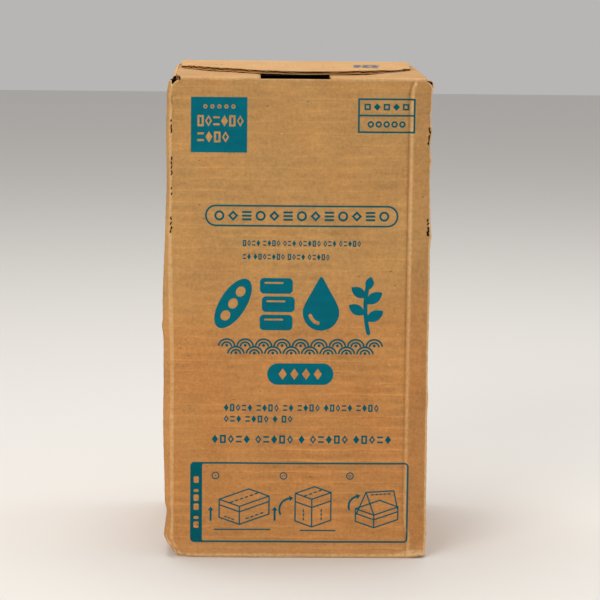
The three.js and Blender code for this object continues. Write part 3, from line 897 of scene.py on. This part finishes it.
def curve_points(*controls):
    """Points of a cubic curve: its start, what it leaves towards, what it arrives from,
    and its end."""
    t = np.linspace(0, 1, 80)[:, None]
    start, first, second, end = (np.array(control, float) for control in controls)
    return (1 - t) ** 3 * start + 3 * t * (1 - t) ** 2 * first + 3 * t * t * (1 - t) * second + t ** 3 * end


def tongue_edge(s):
    """Where the rear flap's free edge lies, x and y, for each girth at its hinge: the
    hinge's range is drawn in to the two corners, and y follows two cubic curves that
    meet at the tongue's tip."""
    left, right, tip = (-64.6, 27.0), (64.2, 12.0), (5.0, rear_low[1])
    curve = np.concatenate((
        curve_points(left, (left[0] + 6.5, left[1] - 39), (tip[0] - 22, tip[1] + 4), tip),
        curve_points(tip, (tip[0] + 38, tip[1] + 4), (right[0] - 24, right[1] - 41.5), right)[1:]))
    x = np.interp(back_girth(s), (rear_low[0], rear_high[0]), (left[0], right[0]))
    return x, np.interp(x, curve[:, 0], curve[:, 1])


def rear_flap():
    """The rear flap's shape."""
    def slide(s, inward):
        """The two ends draw in towards the free edge in a straight line, the right one more."""
        x, y = tongue_edge(s)
        return (x - back_girth(s)) * inward / (HALF_D - y)

    def pinch(s, inward):
        """The ends of the free edge are pressed flat."""
        x = back_girth(s)
        from_edge = HALF_D - tongue_edge(s)[1] - inward
        return (0.55 * smooth(44, 60, x) + 0.4 * smooth(-59, -64, x)) * smooth(14, 1, from_edge)

    def relief(s, inward):
        """The free edge hangs a little, is lifted in two places, and curls up at its right end."""
        x, y = tongue_edge(s)
        lifted = bells(back_girth(s), ((0.25, 30, 30), (0.3, -45, 20))) * smooth(30, 88, inward)
        curl = 0.4 * bell(x, 60.6, 1.2) * smooth(5, 0, HALF_D - y - inward)
        return sheet_waves(s, inward, 37, height=0.08) - 0.12 * smooth(0, 88, inward) + lifted + curl

    # Its fold's pale band is a strong painted highlight.
    return new_flap("rear_end_flap", (0, -1), reach=lambda s: HALF_D - tongue_edge(s)[1], slide=slide,
                    pinch=pinch, relief=relief, fold_wear=0.9, levels=np.linspace(0, 1, 46), seed=37)


def build_rear_flap():
    """Folded forward from the back wall over the front flap; its free edge is a tongue."""
    right, left = back_girth(rear_high[0]), back_girth(rear_low[0])
    s = spaced([right, right + 6, left - 14, left - 3, left], [0.6, 2.4, 0.5, 0.15])
    build_flap("rear_flap", rear_flap(), s)


def build_side_flap(name, node, wall, low, high, short, ridge):
    """Folded in from a side wall under the two others. short is how much its hinge lacks
    at the rear, ridge how far its fold stands above the level of its sheet."""
    middle = (HALF_W if wall == RIGHT else LEFT_START) + HALF_D
    start, stop = middle + low[1], middle + high[1] - short
    reach = high[0] - low[0]

    def relief(s, inward):
        return sheet_waves(s, inward, 41 + wall, height=0.1) - ridge * smooth(1.6, 2.9, inward)

    build_flap(name, new_flap(
        node, (-1 if wall == RIGHT else 1, 0), reach=lambda s: reach + 0 * s, relief=relief,
        levels=spaced([0, 0.15, 1], [0.012, 0.06]), seed=41 + wall, board=SIDE_FLAP_BOARD),
        spaced([start, start + 4, stop - 4, stop], [0.6, 2.6, 0.6]))


def build_base_flap(name, node, wall):
    """Folded in under the contents from the front or the back wall; the two meet along
    the middle."""
    half, half_seam = base_high[0], 0.3
    start = -half if wall == FRONT else back_girth(half)
    stop = start + 2 * half

    def slide(s, inward):
        """The hinge is drawn in with the crushed corner; behind it the sheet's end follows
        the left wall's foot back out."""
        back_out = 1 - np.exp(-np.maximum(inward - 2, 0) ** 2 / CRUSH_REACH[1])
        return -CRUSH_SHIFT[0] * smooth(-58, -68, s) * back_out * (wall == FRONT)

    def relief(s, inward):
        """The sheet sags upwards behind its fold, never below it."""
        return -0.13 * smooth(3, 14, inward) * np.maximum(0, 1 + swirl(s, inward, 30.0, seed=51))

    def dark(s, walk):
        """A shaded line right behind the fold."""
        return 0.5 * plateau(walk, 0.9, 1.4, 2, 4)

    build_flap(name, new_flap(
        node, (0, 1 if wall == FRONT else -1), edge=wall_foot, up=-1, fold=FOOT_FOLD, fold_wear=0,
        reach=lambda s: np.abs(wall_point(s, wall_foot(s))[0][..., 1]) - half_seam, thick=BOARD,
        slide=slide, relief=relief, dark=dark, levels=np.linspace(0, 1, 30), seed=51 + wall,
        slot="kraft_board"),
        spaced([start, start + 10, stop - 10, stop], [0.7, 2.8, 0.7]))


def build_packed_top():
    """What closes the carton under its flaps: a plate painted near-black as shade, with a square well below
    the finger slot. The upper skin is a height over x and y that drops inside the well."""
    near, far, drop, lip, thick = -62.0, -15.0, 22.0, 0.3, 3.0
    left, right = SLOT[0] - 0.6, SLOT[1] + 0.6
    inside_x, inside_y = HALF_W - BOARD - 0.6, HALF_D - BOARD - 0.6
    x, y = np.meshgrid(
        spaced([-inside_x, left - lip, left, right, right + lip, inside_x], [8, lip, 5, lip, 8]),
        spaced([-inside_y, near - lip, near, far, far + lip, inside_y], [0.4, lip, 5, lip, 8]))
    well = (x >= left) & (x <= right) & (y >= near) & (y <= far)
    points, quads = closed_sheet(np.stack((x, y, DECK_TOP - drop * well), -1),
                                 np.stack((x, y, DECK_TOP - drop - thick + 0 * x), -1))
    make_piece("packed_top", points, [quads], DARK_BOARD, flat=True)


# ---------------------------------------------------------------- outlines

# A printed shape is a pair: the closed outlines that it joins, and the holes in them.

def split_sides(loop, step):
    """A closed outline whose sides are each split into equal parts no longer than step."""
    following = np.roll(loop, -1, 0)
    parts = np.maximum(1, np.ceil(np.hypot(*(following - loop).T) / step)).astype(int)
    start = np.repeat(np.arange(len(loop)), parts)
    within = np.arange(parts.sum()) - np.repeat(np.cumsum(parts) - parts, parts)
    share = (within / np.repeat(parts, parts))[:, None]
    return loop[start] * (1 - share) + following[start] * share


def dense(loop):
    """A closed outline with points added along its sides, and more of them where it
    crosses the crease or the creased foot."""
    loop = split_sides(loop, OUTLINE_STEP)
    x, z = loop.T
    creased = (np.abs(x - CREASE_X) < 5) | ((z < 13) & (np.abs(x) > 30))
    return split_sides(loop, np.where(creased, CREASED_STEP, OUTLINE_STEP))


def circle_points(x, z, radius, turns, squash=1.0):
    """Points of a circle round x, z at the given turns, in radians."""
    return np.stack((x + radius * np.cos(turns), z + radius * squash * np.sin(turns)), -1)


def disc(x, z, radius, count=20, squash=1.0):
    """A closed outline of a circle, or of an ellipse squash times as high as wide."""
    return circle_points(x, z, radius, np.linspace(0, TAU, count, endpoint=False), squash)


def arc_points(x, z, radius, start, end, count, squash=1.0):
    """Points along an arc, from start to end in degrees."""
    return circle_points(x, z, radius, np.radians(np.linspace(start, end, count)), squash)


def turned(points, degrees, x, z):
    """Points turned round the origin and moved to x, z."""
    cos, sin = math.cos(math.radians(degrees)), math.sin(math.radians(degrees))
    return points @ np.array([[cos, sin], [-sin, cos]]) + (x, z)


def rounded_box(left, low, right, high, radius):
    """A closed outline of a box whose corners are quarter circles."""
    radius = min(radius, (right - left) / 2 - 1e-3, (high - low) / 2 - 1e-3)
    turns = np.linspace(0, QUARTER, max(3, int(radius * 3) + 3))
    centres = ((right - radius, high - radius), (left + radius, high - radius),
               (left + radius, low + radius), (right - radius, low + radius))
    return dense(np.concatenate([circle_points(x, z, radius, turns + k * QUARTER)
                                 for k, (x, z) in enumerate(centres)]))


def middle_box(x, z, half_x, half_z, radius):
    """A rounded box given by its middle and half its size."""
    return rounded_box(x - half_x, z - half_z, x + half_x, z + half_z, radius)


def diamond(x, z, half_x, half_z):
    """A closed outline of a square on its corner."""
    return dense(np.array([(x - half_x, z), (x, z - half_z), (x + half_x, z), (x, z + half_z)]))


def ring(x, z, outer, inner, counts):
    """A shape between two circles; counts are their numbers of points."""
    return [disc(x, z, outer, counts[0])], [disc(x, z, inner, counts[1])]


def frame_shape(left, low, right, high, radius, line):
    """A line of even width round a rounded box."""
    return ([rounded_box(left, low, right, high, radius)],
            [rounded_box(left + line, low + line, right - line, high - line, max(radius - line, 0.05))])


def unit(vectors):
    """The same directions with length 1."""
    return vectors / np.maximum(np.hypot(*vectors.T), 1e-9)[:, None]


def stroke(points, width):
    """The outline of a line of even width through the points, with round ends: the path
    is offset to both sides along the mean normal of its neighbours."""
    points = np.array(points, float)
    sides = unit(np.diff(points, axis=0))
    middle = unit(sides[:-1] + sides[1:])
    tangent = np.concatenate((sides[:1], middle, sides[-1:]))
    stretch = 1 / np.maximum((middle * sides[1:]).sum(1), 0.5)
    grow = np.concatenate(([1], stretch, [1]))[:, None]
    normal = np.stack((-tangent[:, 1], tangent[:, 0]), -1) * grow * width / 2

    def cap(point, along):
        turns = np.linspace(-QUARTER, QUARTER, 5)[1:-1] + math.atan2(along[1], along[0])
        return circle_points(*point, width / 2, turns)

    return dense(np.concatenate((points - normal, cap(points[-1], tangent[-1]),
                                 (points + normal)[::-1], cap(points[0], -tangent[0]))))


def inside_loop(points, loop):
    """Which points lie inside a closed outline: an odd number of its sides cross the ray
    that runs from the point along the first axis."""
    px, pz = points[:, 0][:, None], points[:, 1][:, None]
    ax, az = loop.T
    bx, bz = np.roll(ax, -1), np.roll(az, -1)
    crosses = (az > pz) != (bz > pz)
    where = ax + (pz - az) * (bx - ax) / np.where(bz == az, 1, bz - az)
    return (crosses & (px < where)).sum(1) % 2 == 1


def ink_shape(solids, holes):
    """A flat shape as points and triangles: the triangulated union of the solid outlines,
    less the holes. Points of a grid inside it let it follow the board's waves."""
    loops = [*solids, *holes]
    low = np.min([loop.min(0) for loop in solids], 0)
    high = np.max([loop.max(0) for loop in solids], 0)
    grid = np.stack(np.meshgrid(np.arange(low[0] + 1.2, high[0] - 0.6, 2.4),
                                np.arange(low[1] + 0.8, high[1] - 0.4, 1.45)), -1).reshape(-1, 2)
    grid = grid[np.any([inside_loop(grid, loop) for loop in solids], 0)]
    edges, count = [], 0
    for loop in loops:
        corners = np.arange(len(loop)) + count
        edges.append(np.stack((corners, np.roll(corners, -1)), -1))
        count += len(loop)
    vectors = [Vector(point) for point in np.concatenate([*loops, grid]).tolist()]
    verts, _, faces, *_ = delaunay_2d_cdt(vectors, np.concatenate(edges).tolist(), [], 0, WELD)
    verts, faces = np.array([tuple(vert) for vert in verts]), np.array(faces)
    middle = verts[faces].mean(1)
    kept = np.any([inside_loop(middle, loop) for loop in solids], 0)
    for hole in holes:
        kept &= ~inside_loop(middle, hole)
    return verts, faces[kept]


def ink_piece(name, shapes, place, material):
    """One printed piece: every shape laid on the board by place(u, v, lift) and closed into
    a thin film, its rim along the sides that only one triangle uses."""
    all_points, all_triangles, all_rims, count = [], [], [], 0
    for solids, holes in shapes:
        flat, triangles = ink_shape(solids, holes)
        upper, lower = (place(*flat.T, lift) for lift in (PRINT_LIFT, -PRINT_SINK))
        sides = np.concatenate([triangles[:, pair] for pair in ([0, 1], [1, 2], [2, 0])])
        _, first, times = np.unique(np.sort(sides, 1), axis=0, return_index=True, return_counts=True)
        rim = sides[first[times == 1]]
        size = len(flat)
        a, b, c = (upper[triangles[:, k]] for k in range(3))
        if np.cross(b - a, c - a).sum(0) @ (upper - lower).mean(0) < 0:
            triangles, rim = triangles[:, ::-1], rim[:, ::-1]
        all_points += [upper, lower]
        all_triangles += [triangles + count, triangles[:, ::-1] + size + count]
        all_rims.append(np.stack((rim[:, 1], rim[:, 0], rim[:, 0] + size, rim[:, 1] + size), -1) + count)
        count += 2 * size
    make_piece(name, np.concatenate(all_points), [np.concatenate(all_triangles), np.concatenate(all_rims)],
               material, flat=True)


# ---------------------------------------------------------------- print

def on_front(x, z, lift):
    """A print point on the front wall, lifted off the board."""
    point, out = wall_point(x, z)
    return point + np.pad(out, ((0, 0), (0, 1))) * lift


def small_mark(kind, left, low, width, height, line):
    """One small mark of a row: a hollow box, a diamond, two level bars or a hollow diamond."""
    right, high, middle = left + width, low + height, np.array([left + width / 2, low + height / 2])
    if kind == 0:
        return [frame_shape(left, low, right, high, 0.3, line)]
    if kind == 2:
        return [([rounded_box(left, foot, right, foot + line, 0.2)], ())
                for foot in (low + 0.1 * height, high - 0.1 * height - line)]
    outline = diamond(*middle, width / 2 + 0.1, height / 2 + 0.1)
    share = max(1 - 2.6 * line / height, 0.25)
    return [([outline], () if kind == 1 else [middle + (outline - middle) * share])]


def build_corner_square():
    """A solid square with a row of rings and two rows of hollow blocks left bare."""
    left, low, right, high = -57.1, 220.8, -27.3, 250.1
    rings = [(left + 7.6 + 3.7 * k, high - 5) for k in range(5)]
    holes = [disc(x, z, 1.15, 14) for x, z in rings]
    islands = [([disc(x, z, 0.45, 10)], ()) for x, z in rings]
    marks = [(k * 3 % 4, left + 3.4 + 4.2 * k, high - 15.6, 3.4, 6.0) for k in range(6)]
    marks += [((k * 3 + 2) % 4, left + 3.4 + 4.4 * k, high - 24, 3.5, 5.8) for k in range(4)]
    for mark in marks:
        for solid, inside in small_mark(*mark, 1.1):
            holes += solid
            islands += [([loop], ()) for loop in inside]
    ink_piece("corner_square", [([rounded_box(left, low, right, high, 0.3)], holes), *islands], on_front, INK)


def build_code_frame():
    """Two framed cells, one with a row of mixed small marks, one with a row of pips."""
    left, low, right, high, divide, line = 31.3, 231.7, 61.7, 250.1, 241.0, 0.95
    shapes = [([rounded_box(left, low, right, high, 0.2)],
               [rounded_box(left + line, divide + line / 2, right - line, high - line, 0.1),
                rounded_box(left + line, low + line, right - line, divide - line / 2, 0.1)])]
    middle = (divide + high) / 2
    for k in range(5):
        x = left + 5 + 5.1 * k
        shapes.append(([diamond(x, middle, 1.9, 1.9)], ()) if k % 2 else
                      ([middle_box(x, middle, 1.7, 1.7, 0.3)], [middle_box(x, middle, 0.8, 0.8, 0.1)]))
    middle = (low + divide) / 2
    shapes += [ring(left + 6.8 + 4.2 * k, middle, 1.75, 0.8, (18, 12)) for k in range(5)]
    ink_piece("code_frame", shapes, on_front, LINE_INK)


def build_slogan_band():
    """A stadium outline with a chain of rings, hollow diamonds and bars."""
    left, low, right, high = -49.4, 181.4, 53.6, 193.0
    shapes = [frame_shape(left, low, right, high, 5.75, 0.95)]
    middle = (low + high) / 2
    for k in range(13):
        x = left + 7.6 + 7.32 * k
        shapes += ([ring(x, middle, 2.7, 1.6, (22, 18))],
                   [([diamond(x, middle, 2.8, 2.8)], [diamond(x, middle, 1.3, 1.3)])],
                   [([rounded_box(x - 2.6, middle + z, x + 2.6, middle + z + 1.1, 0.5)], ())
                    for z in (-2.5, -0.55, 1.4)])[k % 3]
    ink_piece("slogan_band", shapes, on_front, LINE_INK)


def build_mark_rows(name, rows):
    """Rows of small marks that stand for words: left end, foot, height, pitch, line, gap
    between words, and how many marks each word has."""
    shapes = []
    for left, low, height, pitch, line, gap, counts in rows:
        for word, count in enumerate(counts):
            for k in range(count):
                kind = (k * 3 + word * 2 + count) % 4
                shapes += small_mark(kind, left + k * pitch, low, 0.74 * pitch, height, line)
            left += count * pitch - 0.26 * pitch + gap
    ink_piece(name, shapes, on_front, LINE_INK)


def build_main_motif():
    """Four bold pictures in a row: a bean pod, a stack of slices, a drop and a sprig."""
    low, high = 125.2, 154.7

    # Pod: a slanted ellipse with three bare beans along it.
    slant, pod = 58.0, (-34.2, 139.9)
    beans = [turned(disc(k * 7.6, 0, 2.9, 24, 2.5 / 2.9), slant, *pod) for k in (-1, 0, 1)]
    shapes = [([turned(disc(0, 0, 15.2, 72, 7.0 / 15.2), slant, *pod)], beans)]

    # Stack: three slices, each a slab with a bare line between top and side.
    for k in range(3):
        left, foot = -19.9 + 1.1 * (k % 2), low + 0.4 + 9.9 * k
        shapes.append(([rounded_box(left, foot, left + 17.6, foot + 8.4, 2.2)],
                       [rounded_box(left + 2.4, foot + 5.3, left + 12.6, foot + 6.3, 0.5)]))

    # Drop: a round foot that runs up to a point, with a bare glint.
    x, z, radius = 12.9, 135.3, 9.8
    turns = np.linspace(0, TAU, 60, endpoint=False)
    pull = np.maximum(np.sin(turns), 0) ** 3.2
    drop = np.stack((x + radius * np.cos(turns) * (1 - 0.55 * pull),
                     z + radius * np.sin(turns) + (high - z - radius) * pull), -1)
    shapes.append(([dense(drop)], [stroke(arc_points(x, z, 5.9, 195, 255, 9), 1.9)]))

    # Sprig: a stem with five leaves, each an arc out and an arc back.
    def leaf(x, z, heading, length, width):
        t = np.linspace(0, 1, 15)
        out = np.stack((t * length, width * np.sin(math.pi * t) ** 0.8), -1)
        return turned(np.concatenate((out, (out * (1, -1))[-2:0:-1])), heading, x, z)

    stem = stroke(arc_points(97.2, low + 13.6, 60.5, 166.5, 194, 14), 2.2)
    shapes.append(([stem, *(leaf(*place) for place in (
        (36.9, 131.0, 28, 10.8, 2.9), (36.4, 134.4, 150, 10.0, 2.8), (36.7, 140.2, 34, 10.8, 2.9),
        (37.0, 143.6, 146, 9.6, 2.7), (38.0, 147.6, 78, 7.4, 2.3)))], ()))
    ink_piece("main_motif", shapes, on_front, INK)


def build_wave_band():
    """Two staggered rows of nested arcs, the plain wave pattern."""
    left, low, pitch = -42.4, 112.6, 9.9
    shapes = []
    for row in range(2):
        foot = low + 4.1 * (1 - row)
        for k in range(9 - row):
            x = left + pitch * (k + 0.5 + 0.5 * row)
            shapes += [([stroke(arc_points(x, foot, radius, 8, 172, 14, squash=0.92), 0.95)], ())
                       for radius in (4.3, 2.5)]
            shapes.append(([disc(x, foot + 0.6, 0.8, 12)], ()))
    ink_piece("wave_band", shapes, on_front, LINE_INK)


def build_pill():
    """A solid pill with a row of bare diamonds."""
    left, low, right, high = -15.6, 95.9, 20.0, 107.6
    holes = [diamond(left + 8.3 + 6.3 * k, (low + high) / 2, 2.2, 3.1) for k in range(4)]
    ink_piece("grade_pill", [([rounded_box(left, low, right, high, 5.8)], holes)], on_front, INK)


CRATE_RISE = 0.36       # how steeply the level edges of a drawn box run up


def crate(x, z, width, depth, height):
    """A box seen from a corner: its nine edges as lines."""
    front, up = np.array([x, z]), np.array([0, height])
    right_end = front + (width, width * CRATE_RISE)
    left_end = front + (-depth, depth * CRATE_RISE)
    back = right_end + left_end - front + up
    return ((left_end, front, right_end), (left_end, left_end + up, front + up, right_end + up, right_end),
            (front, front + up), (left_end + up, back, right_end + up))


def seam(x, z, width, depth):
    """A line round the two near faces of a crate."""
    return (x - depth, z + depth * CRATE_RISE), (x, z), (x + width, z + width * CRATE_RISE)


def dashes(start, end, count):
    """Short lines evenly along a run."""
    start, run = np.array(start), np.subtract(end, start)
    return [(start + run * (k + 0.2) / count, start + run * (k + 0.7) / count) for k in range(count)]


def arrow(points):
    """A bold line with a three-cornered head at its end."""
    head = 1.6
    points = np.array(points, float)
    along = unit(points[-1:] - points[-2:-1])[0]
    across = np.array([-along[1], along[0]])
    corners = [points[-1] + along * head * 1.2, points[-1] + across * head - along * 0.2,
               points[-1] - across * head - along * 0.2]
    return [stroke(points, 1.1), dense(np.array(corners))], ()


def build_step_panel():
    """A rounded frame with a solid strip at its left and three line drawings of a box
    that is lifted, turned and opened, each under a ring of pips."""
    left, low, right, high, strip, line = -56.7, 8.6, 61.5, 53.1, -50.3, 0.95
    holes = [rounded_box(strip, low + line, right - line, high - line, 0.9)]
    holes += [rounded_box(-54.9, low + 8 + 5 * k, -52.1, low + 8 + 5 * k + length, 0.7)
              for k, length in enumerate((3.6, 1.6, 3.6, 3.6, 1.6, 3.6))]
    shapes = [([rounded_box(left, low, right, high, 2.2)], holes)]
    for k, x in enumerate((-43.1, -6.3, 29.7)):
        z = high - 7.4
        shapes.append(ring(x, z, 2.1, 1.5, (22, 20)))
        pips = circle_points(x, z, 0.55 if k else 0, np.linspace(0.5, 0.5 + TAU, k + 1, endpoint=False))
        shapes += [([disc(*pip, 0.36, 8)], ()) for pip in pips]

    lift = (*crate(-30.0, 18.6, 16.0, 11.0, 10.0), seam(-30.0, 25.6, 16.0, 11.0),
            ((-43.5, 15.8), (-13.5, 15.8)), *dashes((-35.5, 30.6), (-19.5, 36.3), 6),
            *dashes((-38.4, 23.2), (-32.6, 21.1), 3), *dashes((-27.0, 21.6), (-16.5, 25.4), 4))
    turn = (*crate(9.2, 17.4, 10.4, 9.0, 15.4), ((3.0, 15.4), (22.0, 15.4)), seam(9.2, 28.2, 10.4, 9.0),
            *dashes((4.7, 34.4), (15.1, 38.2), 4), *dashes((4.7, 27.4), (4.7, 20.6), 3),
            *dashes((14.4, 27.6), (14.4, 20.8), 3))
    tray = (*crate(43.0, 17.0, 13.0, 10.0, 7.0),
            ((33.4, 24.4), (38.6, 36.6), (53.6, 37.6), (55.8, 27.6)), ((38.6, 36.6), (43.0, 24.0)),
            seam(43.0, 21.4, 13.0, 10.0), *dashes((41.2, 35.3), (52.2, 36.0), 5))
    for drawing, arrows in ((lift, (((-45.6, 21.0), (-45.6, 26.6)), ((-10.9, 21.0), (-10.9, 26.6)))),
                            (turn, (arc_points(-2.2, 27.0, 6.2, 205, 95, 9),)),
                            (tray, (arc_points(34.6, 29.0, 5.4, 200, 100, 9),))):
        shapes.append(([stroke(points, 0.72) for points in drawing], ()))
        shapes += [arrow(points) for points in arrows]
    ink_piece("step_panel", shapes, on_front, LINE_INK)


def on_rear_flap(x, y, lift):
    """A print point on the rear flap's upper skin: girth and walk are moved by what x and
    y still lack, a few times over."""
    flap = rear_flap()
    s, walk = back_girth(x), HALF_D - y + FOLD * (QUARTER - 1)
    for _ in range(4):
        point = flap_points(flap, s, walk, 0.0)
        s, walk = s + point[..., 0] - x, walk + point[..., 1] - y
    return flap_points(flap, s, walk, -lift)


def build_lot_patch():
    """A slanted patch of short bars and some stray pips on the rear flap. The patch is
    drawn in a unit square whose four corners are put in place, straight in between."""
    corners = np.array([[(30.9, -8.5), (45.3, -11.2)], [(32.4, 24.3), (47.6, 27.1)]])

    def bar(u, v, wide):
        square = np.array([(u, v), (u + wide, v), (u + wide, v + 0.155), (u, v + 0.155)])
        weights = np.stack((1 - square, square), -1)
        return dense(np.einsum("pj,pi,ijk->pk", weights[:, 0], weights[:, 1], corners))

    shapes = [([bar(0.02 + 0.33 * k + 0.05 * (row % 2), 0.02 + 0.2 * row,
                    0.29 if (row + k) % 3 else 0.21)], ()) for row in range(5) for k in range(3)]
    shapes += [([disc(x, y, 0.55, 10, squash=1.6)], ())
               for x, y in ((-44.7, 15.4), (-41.5, 16.0), (-19.6, 5.8), (-16.6, 6.4), (-5.3, 2.0),
                            (-1.6, 0.5), (14.9, 1.3), (20.6, -1.9))]
    # Its ink is teal with a painted sheen.
    ink_piece("lot_patch", shapes, on_rear_flap, TOP_INK)


# ---------------------------------------------------------------- everything

build_walls()
build_packed_top()
build_front_flap()
build_rear_flap()
build_side_flap("left_flap", "left_end_flap", LEFT, left_low, left_high, 10.0, RIDGE_TOP - SIDE_TOP)
build_side_flap("right_flap", "right_end_flap", RIGHT, right_low, right_high, 0.0, 0.0)
build_base_flap("base_flap_front", "front_base_flap", FRONT)
build_base_flap("base_flap_rear", "rear_base_flap", BACK)
build_corner_square()
build_code_frame()
build_slogan_band()
build_mark_rows("serving_rows", ((-29.2, 170.9, 3.3, 2.45, 0.66, 1.6, (4, 4, 3, 5, 3, 5)),
                                 (-29.2, 163.6, 3.3, 2.45, 0.66, 1.6, (2, 7, 4, 5))))
build_mark_rows("pack_rows", ((-38.7, 81.2, 4.0, 3.2, 0.8, 2.3, (5, 4, 2, 4, 5, 4)),
                              (-38.7, 75.1, 3.9, 3.35, 0.8, 2.3, (3, 4, 1, 2))))
build_mark_rows("range_row", ((-45.1, 63.5, 4.6, 4.3, 0.95, 3.0, (5, 5, 1, 5, 5)),))
build_main_motif()
build_wave_band()
build_pill()
build_step_panel()
build_lot_patch()


# ---------------------------------------------------------------- floor, light, camera

def build_floor():
    """A flat square of plain pale paint, 8 metres wide."""
    mesh = bpy.data.meshes.new("floor")
    mesh.from_pydata([(-4, -4, 0), (4, -4, 0), (4, 4, 0), (-4, 4, 0)], [], [(0, 1, 2, 3)])
    floor = bpy.data.objects.new("floor", mesh)
    bpy.context.scene.collection.objects.link(floor)
    material, shader, _ = new_material("floor_paint", roughness=0.9, specular=0.1)
    wire(shader, Base_Color=FLOOR_TONE)
    mesh.materials.append(material)


def add_light(name, place, target, size, watts, color=(1.0, 1.0, 1.0)):
    """A square light, in metres and watts, that faces its target."""
    light = bpy.data.lights.new(name, "AREA")
    light.shape = "SQUARE"
    light.size = size
    light.energy = watts
    light.color = color
    lamp = bpy.data.objects.new(name, light)
    lamp.location = place
    lamp.rotation_euler = (Vector(target) - Vector(place)).to_track_quat("-Z", "Y").to_euler()
    bpy.context.scene.collection.objects.link(lamp)


def build_lights():
    """A large soft key at the front left, a low fill, a top light and a rim light."""
    middle = (0.0, 0.0, 0.13)
    add_light("key", (-0.8, -1.35, 0.95), middle, 0.8, 11.2, (1.0, 0.98, 0.95))
    add_light("fill", (0.7, -1.7, 0.2), (0.0, 0.0, 0.03), 0.9, 2.4, (1.0, 0.96, 0.9))
    add_light("top", (-0.1, 0.2, 1.6), middle, 1.0, 14.0, (1.0, 0.98, 0.94))
    add_light("rim", (1.5, 0.35, 0.5), middle, 0.9, 5.0)
    world = bpy.data.worlds.new("studio")
    bpy.context.scene.world = world
    world.use_nodes = True
    wire(world.node_tree.nodes["Background"], Color=(0.86, 0.85, 0.84, 1.0), Strength=0.55)


def build_camera():
    """The camera's place, turn and focal length, for a square frame of 600 pixels: its
    forward way from yaw and pitch, then a roll about it."""
    frame_pixels, focal_pixels, sensor = 600.0, 2352.5, 36.0
    place = Vector((-32.56, -1310.8, 330.1)) * MM
    yaw, pitch, roll = (math.radians(a) for a in (1.573, 8.592, 0.624))
    forward = Vector((math.sin(yaw) * math.cos(pitch), math.cos(yaw) * math.cos(pitch), -math.sin(pitch)))
    level = Vector((math.cos(yaw), -math.sin(yaw), 0.0))
    above = level.cross(forward)
    right = math.cos(roll) * level + math.sin(roll) * above
    up = -math.sin(roll) * level + math.cos(roll) * above
    data = bpy.data.cameras.new("camera")
    data.sensor_width = sensor
    data.lens = focal_pixels / frame_pixels * sensor
    data.clip_start, data.clip_end = 0.05, 50.0
    camera = bpy.data.objects.new("camera", data)
    axes = Matrix((right, up, -forward)).transposed()
    camera.matrix_world = Matrix.Translation(place) @ axes.to_4x4()
    bpy.context.scene.collection.objects.link(camera)
    bpy.context.scene.camera = camera


build_floor()
build_lights()
build_camera()
bpy.context.scene.view_settings.view_transform = "Standard"
